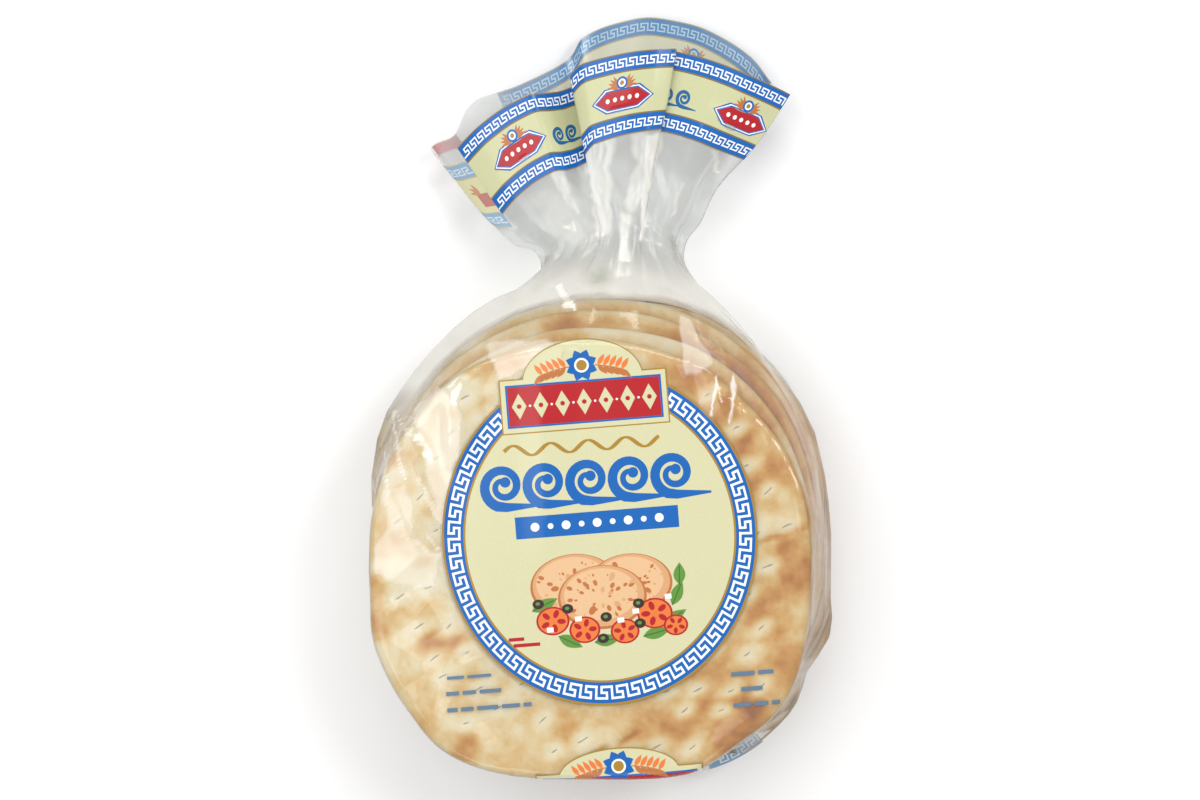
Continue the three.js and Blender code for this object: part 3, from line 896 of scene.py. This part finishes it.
CREAM = ink("cream", "#cfcca4")
BLUE = ink("blue", "#1561ae")
GOLD = ink("gold", "#a5802e")
DEEP_GOLD = ink("deep_gold", "#876c2f")
WHITE = ink("white", "#f1f4f3")
RED = ink("red", "#b01f26")
GREY_BLUE = ink("grey_blue", "#61788e")
CRUST = ink("crust", "#d3a173")
PALE_CRUST = ink("pale_crust", "#dfb78c")
TOASTED = ink("toasted", "#b9713f")
LEAF = ink("leaf", "#5f8f3c")
DEEP_LEAF = ink("deep_leaf", "#3c6a34")
OLIVE = ink("olive", "#3b2b2b")
ORANGE = ink("orange", "#e07a3c")


def turned(flat, turn, centre):
    """Flat points turned about the origin and then moved to this centre."""
    c, s = math.cos(turn), math.sin(turn)
    x, y = flat.T
    return np.stack([centre[0] + x * c - y * s, centre[1] + x * s + y * c], 1)


def disc(x, y, wide, tall=None, turn=0.0, count=48):
    """An ellipse's outline, given its half width and half height."""
    around = np.linspace(0, 2 * math.pi, count, endpoint=False)
    flat = np.stack([wide * np.cos(around), (tall or wide) * np.sin(around)], 1)
    return turned(flat, turn, (x, y))


def leaf(x, y, long, wide, turn):
    """A pointed leaf's outline, from its stalk end at x, y."""
    t = np.linspace(0, 1, 11)
    side = wide / 2 * np.sin(math.pi * t**0.85)
    px, py = np.concatenate([t, t[-2:0:-1]]) * long, np.concatenate([side, -side[-2:0:-1]])
    return turned(np.stack([px, py], 1), turn, (x, y))


def slab(left, low, right, high, step=3.0):
    """A rectangle's outline with its sides cut into short steps."""
    nx, ny = max(1, round((right - left) / step)), max(1, round((high - low) / step))
    xs, ys = np.linspace(left, right, nx + 1), np.linspace(low, high, ny + 1)
    sides = [(x, low) for x in xs[:-1]] + [(right, y) for y in ys[:-1]]
    sides += [(x, high) for x in xs[:0:-1]] + [(left, y) for y in ys[:0:-1]]
    return np.array(sides)


def stroke(path, widths):
    """The outline of a line of ink along a path, its corners mitred."""
    path = np.asarray(path, float)
    half = np.broadcast_to(widths, len(path)) / 2
    step = np.diff(path, axis=0)
    step = step / np.linalg.norm(step, axis=1, keepdims=True)
    before, after = np.vstack([step[:1], step]), np.vstack([step, step[-1:]])
    mid = before + after
    mid = mid / np.linalg.norm(mid, axis=1, keepdims=True)
    mitre = half / (mid * before).sum(1)
    side = np.stack([-mid[:, 1], mid[:, 0]], 1) * mitre[:, None]
    return np.concatenate([path + side, (path - side)[::-1]])


# One turn of the Greek key on a squared grid of stroke widths, six wide and five high.
KEY_PATH = [(-0.5, 0), (4, 0), (4, 2), (2, 2), (2, 4), (6, 4), (6, -0.5)]


def key_turns(count, thick):
    """The outlines of so many turns of the key, one after the other, in stroke widths."""
    return [stroke(KEY_PATH, thick) + (6 * unit, 0) for unit in range(count)]


def banner(x, y, wide, tall, cap_tall):
    """A red field with a cream border and lozenges, and a low cap with a rosette and sprigs."""
    shapes = []
    left, right, top = x - wide / 2, x + wide / 2, y + tall
    turns = np.linspace(0, math.pi, 25)
    for grow, tint in ((3.6, GOLD), (3.0, CREAM), (0.9, BLUE), (0, RED)):
        if grow > 1:
            cap = [(0.37 * wide + grow / 2) * np.cos(turns), (cap_tall + grow) * np.sin(turns)]
            shapes.append((np.stack(cap, 1) + (x, top + 1.5), tint))
        shapes.append((slab(left - grow, y - grow, right + grow, top + grow), tint))
    for i in range(LOZENGES):
        cx, cy = left + wide * (i + 0.5) / LOZENGES, y + tall / 2
        half_w, half_h = 0.34 * wide / LOZENGES, 0.33 * tall
        lozenge = [(cx - half_w, cy), (cx, cy - half_h), (cx + half_w, cy), (cx, cy + half_h)]
        shapes += [(np.array(lozenge), CREAM), (disc(cx, cy, 0.32 * half_w, count=16), RED)]
        if i:
            shapes.append((disc(cx - wide / LOZENGES / 2, cy, 0.55, count=10), WHITE))
    head = top + 1.5 + 0.42 * cap_tall
    for side in (-1, 1):
        stem = [(x + side * t * 19, head - 3.4 * t * t) for t in np.linspace(0, 1, 9)]
        shapes.append((stroke(stem, 0.5), TOASTED))
        for t in (0.38, 0.52, 0.66, 0.8, 0.94):
            for lean, tint in ((0.95, ORANGE), (-0.8, TOASTED)):
                turn = lean if side > 0 else math.pi - lean
                shapes.append((leaf(x + side * t * 19, head - 3.4 * t * t, 6.0, 2.2, turn), tint))
    for turn in (np.arange(8) + 0.5) * math.pi / 4:
        petal = leaf(x + 1.2 * math.cos(turn), head + 1.2 * math.sin(turn), 6.2, 4.6, turn)
        shapes.append((petal, BLUE))
    return shapes + [(disc(x, head, 3.3, count=28), WHITE), (disc(x, head, 2.4, count=24), GOLD)]


def scroll(x, y, wide, tall, tint):
    """One wave of a running scroll, curling over to the left."""
    t = np.linspace(0, 1, 46)
    turn = math.radians(-82) + t * math.radians(560)
    reach = tall / 2 * (1 - 0.78 * t)
    curl = np.stack([x + reach * np.cos(turn), y + reach * np.sin(turn)], 1)
    tail = np.stack([np.linspace(x - wide * 0.85, x - 1.0, 7), np.full(7, y - tall / 2)], 1)
    path = np.concatenate([tail, curl[1:]])
    path[:, 0] = 2 * x - path[:, 0]
    bold = tall / 19
    widths = np.concatenate([np.linspace(1.0, 4.6, 8), np.linspace(4.6, 2.0, len(path) - 8)])
    return [(stroke(path, widths * bold), tint), (disc(*path[-1], 2.4 * bold, count=18), tint)]


def small_print(x, y, wide, tall, seed):
    """A line of small print, shown as short bars."""
    draw = np.random.default_rng(seed)
    bars, at = [], x
    while at < x + wide - 2:
        run = min(draw.uniform(4, 11), x + wide - at)
        bars.append((slab(at, y + 0.3 * tall, at + run, y + 0.72 * tall), GREY_BLUE))
        at += run + 1.6
    return bars


def food_picture():
    """Round breads lying over one another with tomatoes, olives and leaves before them."""
    draw = np.random.default_rng(77)
    shapes = []
    for x, y, r in ((-13, -21, 20), (12, -22, 19), (-1, -27, 20)):
        shapes.append((disc(x, y, r, r * 0.72), TOASTED))
        shapes.append((disc(x, y + 0.5, r - 1.1, (r - 1.1) * 0.72), CRUST))
        shapes.append((disc(x - 0.6, y + 1.4, r - 3.4, (r - 3.4) * 0.7), PALE_CRUST))
        for i in range(46):
            a, d = draw.uniform(0, 2 * math.pi), draw.uniform(0.02, 0.9) ** 0.5 * (r - 2.5)
            spot = draw.uniform(0.35, 1.5 if i % 4 else 2.3)
            px, py = x + d * math.cos(a), y + 0.7 * d * math.sin(a)
            shapes.append((disc(px, py, spot, spot * 0.65, a, 10), TOASTED if i % 3 else CRUST))
    for x, y, turn, long in (
        (-33, -31, 0.4, 13), (-31, -38, -0.2, 12), (24, -42, 0.5, 14), (30, -33, 1.1, 12),
        (-22, -43, -0.5, 12), (16, -46, 0.2, 13), (-6, -47, 0.1, 12), (34, -24, 1.5, 10),
    ):
        tip = (x + 0.85 * long * math.cos(turn), y + 0.85 * long * math.sin(turn))
        shapes += [(leaf(x, y, long, 5.4, turn), LEAF), (stroke([(x, y), tip], 0.5), DEEP_LEAF)]
    for x, y, r in ((-24, -36, 7.5), (-10, -41, 7), (22, -36, 8), (8, -43, 6.5), (31, -42, 5.5)):
        shapes += [(disc(x, y, r, r * 0.86), RED), (disc(x, y, r - 0.9, (r - 0.9) * 0.86), ORANGE)]
        for a in np.arange(5) * 2 * math.pi / 5 + x:
            px, py = x + 0.52 * r * math.cos(a), y + 0.45 * r * math.sin(a)
            shapes.append((disc(px, py, 0.26 * r, 0.16 * r, a, 14), RED))
    for x, y in ((-17, -31), (0, -36), (15, -31), (-30, -28), (-2, -45.5), (15, -40)):
        shapes.append((disc(x, y, 2.6, 2.2, count=20), OLIVE))
        shapes.append((disc(x - 0.2, y + 0.2, 1.0, 0.8, count=12), LEAF))
    for x, y in ((-14, -37), (5, -39), (-27, -41), (27, -30), (12, -35.5)):
        shapes.append((slab(x, y, x + 3.0, y + 2.2), WHITE))
    return shapes


def key_ring():
    """A cream disc in a blue ring with the Greek key, edged in gold."""
    shapes = [(disc(0, 0, 70.9, count=220), GOLD), (disc(0, 0, 70.0, count=220), BLUE)]
    for outline in key_turns(KEY_TURNS, 0.84):
        angle, reach = outline[:, 0] / 6 * 2 * math.pi / KEY_TURNS, 63.2 + outline[:, 1] * 1.2
        shapes.append((np.stack([reach * np.sin(angle), reach * np.cos(angle)], 1), WHITE))
    return shapes + [(disc(0, 0, 61.3, count=200), GOLD), (disc(0, 0, 60.4, count=200), CREAM)]


def round_label():
    """Everything printed on the front, in the label's own level frame, lowest ink first."""
    shapes = [(outline * (1, RING_STRETCH) + (0, RING_RISE), tint) for outline, tint in key_ring()]
    shapes += banner(-2.2, 57.0, 68.5, 17.6, 14.5)
    rule = np.linspace(0, 1, 60)
    vine = np.stack([-40 + 70 * rule, 46 + 2.4 * np.sin(rule * 26)], 1)
    shapes.append((stroke(vine, 0.9 + 0.9 * np.abs(np.cos(rule * 26))), GOLD))
    for i in range(5):
        shapes += scroll(-41.5 + 19.2 * i, 30.5, 19.2, 19, BLUE)
    shapes.append((slab(-37.5, 6.3, 36, 16.2), BLUE))
    for i in range(9):
        shapes.append((disc(-28.7 + 7 * i, 11.2, 1.3 if i % 2 else 2.0, count=16), WHITE))
    shapes += [(points + (0, 4.5), tint) for points, tint in food_picture()]
    shapes += [(slab(-44.5, -39.3, -37.5, -37.7), RED), (slab(-42.5, -42.1, -30.5, -40.5), RED)]
    left_lines = ((-73.5, -55.2, 22, 3.4), (-74.5, -62.7, 25, 4.2), (-74.5, -70.2, 38, 4.4))
    right_lines = ((54, -64, 19, 4.4), (58, -71, 11, 4.4), (54, -78, 21, 4.4))
    for seed, line in enumerate(left_lines + right_lines, 1):
        shapes += small_print(*line, seed)
    return shapes


def mosaic(shapes, spacing):
    """Overlapping shapes as one flat sheet of triangles that each know their top ink."""
    points, outlines = [], []
    for outline, _ in shapes:
        x, y = outline.T
        area = (x * np.roll(y, -1) - y * np.roll(x, -1)).sum()
        order = outline if area > 0 else outline[::-1]
        outlines.append(list(range(len(points), len(points) + len(order))))
        points += order.tolist()
    low, high = np.min(points, axis=0), np.max(points, axis=0)
    for i, y in enumerate(np.arange(low[1], high[1], spacing * 0.87)):
        for x in np.arange(low[0] + (i % 2) * spacing / 2, high[0], spacing):
            points.append([x, y])
    spots = [Vector(p) for p in points]
    flat, _, faces, _, _, owners = delaunay_2d_cdt(spots, [], outlines, 1, 1e-4)
    used = sorted({v for face in faces for v in face})
    renumber = {v: i for i, v in enumerate(used)}
    flat = np.array([flat[v][:] for v in used])
    faces = [tuple(renumber[v] for v in face) for face in faces]
    tints = [shapes[max(owner)][1] for owner in owners]
    return flat, faces, tints


def print_on(name, shapes, spacing, lay, mirrored=False):
    """A printed piece, cut flat and laid in place, with one material slot for each ink."""
    flat, faces, tints = mosaic(shapes, spacing)
    if mirrored:
        flat, faces = flat * (-1, 1), [face[::-1] for face in faces]
    piece = mesh_object(name, lay(flat), faces)
    order = sorted(set(tints))
    for tint in order:
        piece.data.materials.append(inks[tint])
    piece.data.polygons.foreach_set("material_index", [order.index(tint) for tint in tints])
    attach(piece, "root")


film_tree = BVHTree.FromPolygons(film_points.tolist(), film_faces)


def lay_on(flat, from_above):
    """Drops flat points straight onto the film, from above or from below."""
    start, way = (250.0, -1) if from_above else (-250.0, 1)
    placed = []
    for x, y in flat:
        hit, normal, _, _ = film_tree.ray_cast(Vector((x, y, start)), Vector((0, 0, way)))
        if hit is None:
            hit, normal = Vector((x, y, 40)), Vector((0, 0, 1))
        if normal.z * way > 0:
            normal = -normal
        placed.append(hit + normal * INK_LIFT)
    return np.array([p[:] for p in placed])


def lay_label(flat):
    """Sets the round label in its place on the front."""
    return lay_on(turned(flat, LABEL_TURN, LABEL_CENTRE), True)


print_on("round_label", round_label(), 2.6, lay_label)


# ------------ The end panel and the back label
# The banner is printed once more where the film turns down over the closed end, and the
# underside carries a plain round label: the same ring round a ruled table of small print.
PANEL_TOP = np.array([1.7, -104.0])
PANEL_TURN = math.radians(4.5)
PANEL_ROWS = 80  # the rows of film, from the closed end, that the panel can reach
BACK_LABEL_CENTRE = np.array([0.0, -6.0])


def lay_over_end(flat):
    """Lays the panel down the film from its top line: x across, y along the film."""
    placed = []
    for x, y in turned(flat, PANEL_TURN, (PANEL_TOP[0], 0)):
        rows = front_film[:PANEL_ROWS]
        profile = np.array([[np.interp(x, row[:, 0], row[:, i]) for i in (1, 2)] for row in rows])
        profile = profile[profile[:, 0] < PANEL_TOP[1] + 12][::-1]
        run = distances(profile)
        at = np.interp(-PANEL_TOP[1], -profile[:, 0], run) - y
        here = np.array([np.interp(at, run, line) for line in profile.T])
        step = np.array([np.interp(at + 1, run, line) for line in profile.T]) - here
        step = step / (math.hypot(*step) or 1.0)
        placed.append((x, here[0] + INK_LIFT * step[1], here[1] - INK_LIFT * step[0]))
    return np.array(placed)


def lay_under(flat):
    """Lays the back label on the underside."""
    return lay_on(flat + BACK_LABEL_CENTRE, False)


def back_label():
    """The ring with a ruled table of small print in it."""
    shapes = key_ring()
    shapes += [(slab(-24, -40, 24, 34), GREY_BLUE), (slab(-23.4, -39.4, 23.4, 33.4), CREAM)]
    shapes.append((slab(-21, 27.5, 21, 31), GREY_BLUE))
    for i in range(11):
        low = 21.5 - 5.4 * i
        shapes.append((slab(-21, low - 1.5, 21, low - 1.15), GREY_BLUE))
        shapes += small_print(-21, low, 14 + 3.1 * (i * 7 % 5), 2.2, 30 + i)
        shapes.append((slab(16, low + 0.5, 21, low + 1.7), GREY_BLUE))
    for side in (-1, 1):
        for i in range(6):
            shapes += small_print(-15 + 39.15 * side, 12 - 5 * i, 22, 2.6, 60 + i + side)
    for i in range(3):
        shapes += scroll(-20 + 20.5 * i, 44.5, 20.5, 12, BLUE)
    return shapes


print_on("end_panel", banner(0, -31.2, 68.5, 17.6, 8.3), 2.2, lay_over_end)
print_on("back_label", back_label(), 3.0, lay_under, mirrored=True)


# ------------ The end's folded corner
# The corner of the closed end lies folded flat and sticks out past the breads: a scrap of
# film with a piece of printed ring on it, washed out as it is seen through the film.
CORNER_CENTRE = np.array([26.1, -53.3])
CORNER_HEIGHT = 24.0
CORNER_LIFT = 0.3
FADED_BLUE = ink("faded_blue", "#7d9dbb")
FADED_WHITE = ink("faded_white", "#ccd6de")


def round_corner(turns, reach):
    """Flat points at these angles, in degrees, and distances from the corner's middle."""
    turns = np.radians(turns)
    return np.stack([reach * np.cos(turns), reach * np.sin(turns)], 1)


def corner_arc(near, far, start, stop, count):
    """A strip round the corner between two distances."""
    turns = np.linspace(start, stop, count)
    return np.concatenate([round_corner(turns, far), round_corner(turns[::-1], near)])


def lay_in_corner(flat):
    """Sets the piece of ring level, just over the folded film."""
    return np.column_stack([flat + CORNER_CENTRE, np.full(len(flat), CORNER_HEIGHT + CORNER_LIFT)])


corner_ring = [(corner_arc(62.2, 68.7, -74, -50.8, 24), FADED_BLUE)]
for key in key_turns(4, 0.8):
    corner_ring.append((round_corner(-70.6 + key[:, 0] / 6 * 4.75, 64.3 + key[:, 1] * 0.82), FADED_WHITE))
print_on("corner_print", corner_ring, 2.2, lay_in_corner)
flat, faces, _ = mosaic([(corner_arc(56, 68.9, -77, -50.6, 30), None)], 2.5)
sag = 0.25 * patchy(flat[:, 0], flat[:, 1], 7, 19)
corner = np.column_stack([flat + CORNER_CENTRE, CORNER_HEIGHT + sag])
corner_fold = mesh_object("corner_fold", corner, faces)
corner_fold.data.materials.append(bag.data.materials[0])
for name, amount in (("haze", 0.35), ("pale", 0.5), ("loose", 0.6), ("crushed", 0.0), ("satin", 0.13)):
    point_numbers(corner_fold, name, np.full(len(flat), amount))
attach(corner_fold, "root")
corner_fold.visible_shadow = False


# ------------ The mouth bands
# A band runs round the mouth of the bag, front and back: cream between two blue strips
# with the Greek key, edged in gold. Its emblems are small red lozenges on blue.
def band(start, stop, emblems, waves):
    """The band laid flat: run along the mouth, and depth below its edge as negative y."""
    layers = ((-8.9, -0.1, DEEP_GOLD), (-37.6, -8.9, DEEP_GOLD), (-8.2, -0.6, BLUE))
    layers += ((-28.4, -8.9, BAND_CREAM), (-37.1, -29.0, BLUE))
    shapes = [(slab(start, low, stop, high, 2.4), tint) for low, high, tint in layers]
    for low, pitch in ((-6.1, 4.95), (-34.8, 6.2)):
        for outline in key_turns(int((stop - start) / pitch), 0.82):
            x = (outline[:, 0] + 0.8) * pitch / 6 + start
            shapes.append((np.stack([x, low + outline[:, 1] * 0.82], 1), WHITE))
    for at in emblems:
        for grow, tint in ((1.6, BLUE), (1.0, WHITE), (0.5, BLUE), (0.0, RED)):
            wide, tall = 14.5 + 1.6 * grow, 4.0 + grow
            lozenge = np.array([(-1, 0), (-0.55, -1), (0.55, -1), (1, 0), (0.55, 1), (-0.55, 1)])
            shapes.append((lozenge * (wide, tall) + (at, -20.5), tint))
        shapes += [(disc(at - 8 + 4 * i, -20.5, 1.1, count=12), WHITE) for i in range(5)]
        for lean in (0.15, 0.45, 0.75, 1.05):
            shapes.append((leaf(at + 1, -15.6, 6.8, 1.6, lean), TOASTED))
            shapes.append((leaf(at - 1, -15.6, 6.8, 1.6, math.pi - lean), TOASTED))
        for reach, count, tint in ((2.9, 24, BLUE), (1.9, 18, WHITE), (1.1, 12, GOLD)):
            shapes.append((disc(at, -13.4, reach, count=count), tint))
    for at in waves:
        shapes += scroll(at, -20.5, 9.5, 8.0, DEEP_BLUE) + scroll(at + 9.5, -20.5, 9.5, 8.0, DEEP_BLUE)
    return shapes


DEEP_BLUE = ink("deep_blue", "#1f6296")
BAND_CREAM = ink("band_cream", "#c6c79c")
# The back of the band is seen from within, through the film.
THROUGH = {
    BLUE: ink("through_blue", "#1c74ae"),
    GOLD: ink("through_gold", "#b09a5e"),
    DEEP_GOLD: "through_gold",
    WHITE: ink("through_white", "#a9c6d8"),
    BAND_CREAM: ink("through_cream", "#cdcab0"),
    RED: ink("through_red", "#ad4b48"),
    TOASTED: ink("through_toasted", "#b58463"),
}
# Where the mouth turns over at its left tip the print is worn and washed out.
WORN = {
    BLUE: ink("worn_blue", "#8aa7c0"),
    DEEP_GOLD: ink("worn_gold", "#b9ad87"),
    WHITE: ink("worn_white", "#c9d3d8"),
    BAND_CREAM: ink("worn_cream", "#cdc9a2"),
    RED: ink("worn_red", "#b47c74"),
    TOASTED: ink("worn_toasted", "#bd8f6d"),
}
TIP_RED = ink("tip_red", "#c22c38")
BAND_LIFT = 0.26  # the bands stand clear of the film's sharp folds


def lay_round_mouth(flat, sheet, run, face):
    """Wraps the flat band onto the fan: run along the mouth, depth down towards the neck."""
    fan = sheet[NECK_ROW:][::-1]
    normals = sheet_normals(fan, -face)
    columns = fan.shape[1]
    placed = []
    for x, y in flat:
        u = min(max(x / run, 0.0), 1.0) * (columns - 1)
        c = min(int(u), columns - 2)
        part = u - c
        strip = fan[:, c] * (1 - part) + fan[:, c + 1] * part
        depth = distances(strip)
        r = float(np.interp(-y, depth, np.arange(len(depth))))
        i = min(int(r), len(depth) - 2)
        point = strip[i] * (1 - r + i) + strip[i + 1] * (r - i)
        placed.append(point + normals[i, c] * BAND_LIFT)
    return np.array(placed)


def mouth_place(folds, row):
    """How far along the mouth this row of its table lies, part rows included."""
    run = mouth_run(folds)
    return float(np.interp(row, np.arange(len(run)), run))


def lay_front_band(flat):
    """Lays the front of the band round the front of the mouth."""
    return lay_round_mouth(flat, front_film, front_run, 1)


def lay_back_band(flat):
    """Lays the back of the band round the back of the mouth."""
    return lay_round_mouth(flat, back_film, back_run, -1)


front_run, back_run = mouth_run(FRONT_MOUTH)[-1], mouth_run(BACK_MOUTH)[-1]
front_emblems = [mouth_place(FRONT_MOUTH, row) for row in (1.9, 11.6, 20.6)]
back_emblems = [mouth_place(BACK_MOUTH, row) for row in (10, 16.0, 20)]
front_waves = [mouth_place(FRONT_MOUTH, row) for row in (4.2, 17.5)]
print_on("mouth_band_front", band(0, front_run, front_emblems, front_waves), 1.9, lay_front_band)
fold_over = mouth_place(BACK_MOUTH, 2.3)
worn_band = band(0, fold_over, [], []) + [(slab(0, -25, 7.5, -17.5), RED)]
for lean in (0.15, 0.65, 1.15):
    worn_band.append((leaf(4.5, -17.5, 6.5, 1.9, lean), TOASTED))
worn_band = [(outline - (0, 7.5), WORN[tint]) for outline, tint in worn_band]
tip_bar = slab(mouth_place(BACK_MOUTH, 2.6), -6.0, mouth_place(BACK_MOUTH, 4.2), -0.4)
back_start = mouth_place(BACK_MOUTH, 8.2)
back_band = band(back_start, back_run, back_emblems, [])
back_band = [(outline, THROUGH[tint]) for outline, tint in back_band]
print_on("mouth_band_back", back_band + worn_band + [(tip_bar, TIP_RED)], 2.4, lay_back_band)


# ------------ The neck tag
# A little tag of green polystyrene sheet clips the gathered film from behind. Its moulded
# shape is the frame's own; it gets the satin, slightly cloudy finish of that sheet.
tag_finish = grained("green_tag", (shade("#98eecb"), shade("#b4f6de")), 120, 0.4)
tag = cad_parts["neck_tag"]
tag.data.materials.clear()
tag.data.materials.append(tag_finish)


# ------------ The studio
# A white sheet under soft lights, with the camera straight above the pack.
floor_half = 1.6
floor_corners = np.array([(-1, -1, 0), (1, -1, 0), (1, 1, 0), (-1, 1, 0)]) * floor_half / MM
floor = mesh_object("floor", floor_corners, [(0, 1, 2, 3)])
floor_finish, floor_shader = new_finish("white_sheet", 0.9)
floor_shader.inputs["Base Color"].default_value = shade("#f4f4f4")
floor.data.materials.append(floor_finish)


def softbox(name, at, aim, size, power):
    """A soft rectangular lamp at one place, aimed at another."""
    lamp = bpy.data.lights.new(name, "AREA")
    lamp.shape = "RECTANGLE"
    lamp.size, lamp.size_y = size
    lamp.energy = power
    light = bpy.data.objects.new(name, lamp)
    light.location = at
    light.rotation_euler = (Vector(aim) - Vector(at)).to_track_quat("-Z", "Y").to_euler()
    bpy.context.scene.collection.objects.link(light)


softbox("softbox_left", (-0.75, 0.25, 1.65), (0, 0.05, 0), (1.2, 1.3), 10.4)
softbox("softbox_right", (0.85, 0.5, 1.6), (0, 0.05, 0), (0.4, 0.6), 7)
softbox("softbox_top", (0.1, 1.5, 1.5), (0, 0.05, 0), (1.2, 0.6), 9.6)
softbox("softbox_low", (0.0, -1.3, 1.4), (0, 0.05, 0), (1.2, 0.6), 4.6)
world = bpy.data.worlds.new("studio")
world.use_nodes = True
world.node_tree.nodes["Background"].inputs["Color"].default_value = (1, 1, 1, 1)
world.node_tree.nodes["Background"].inputs["Strength"].default_value = 0.62
bpy.context.scene.world = world
bpy.context.scene.view_settings.view_transform = "Standard"

PICTURE_WIDE = 540 * MM  # width of the scene that the camera takes in, at the label
LABEL_HEIGHT = 76 * MM
CAMERA_HIGH = 1.6
CAMERA_AT = (-6 * MM, 52.1 * MM)
lens = bpy.data.cameras.new("camera")
lens.sensor_width = 36
lens.lens = 36 * CAMERA_HIGH / PICTURE_WIDE
camera = bpy.data.objects.new("camera", lens)
camera.location = (*CAMERA_AT, LABEL_HEIGHT + CAMERA_HIGH)
bpy.context.scene.collection.objects.link(camera)
bpy.context.scene.camera = camera
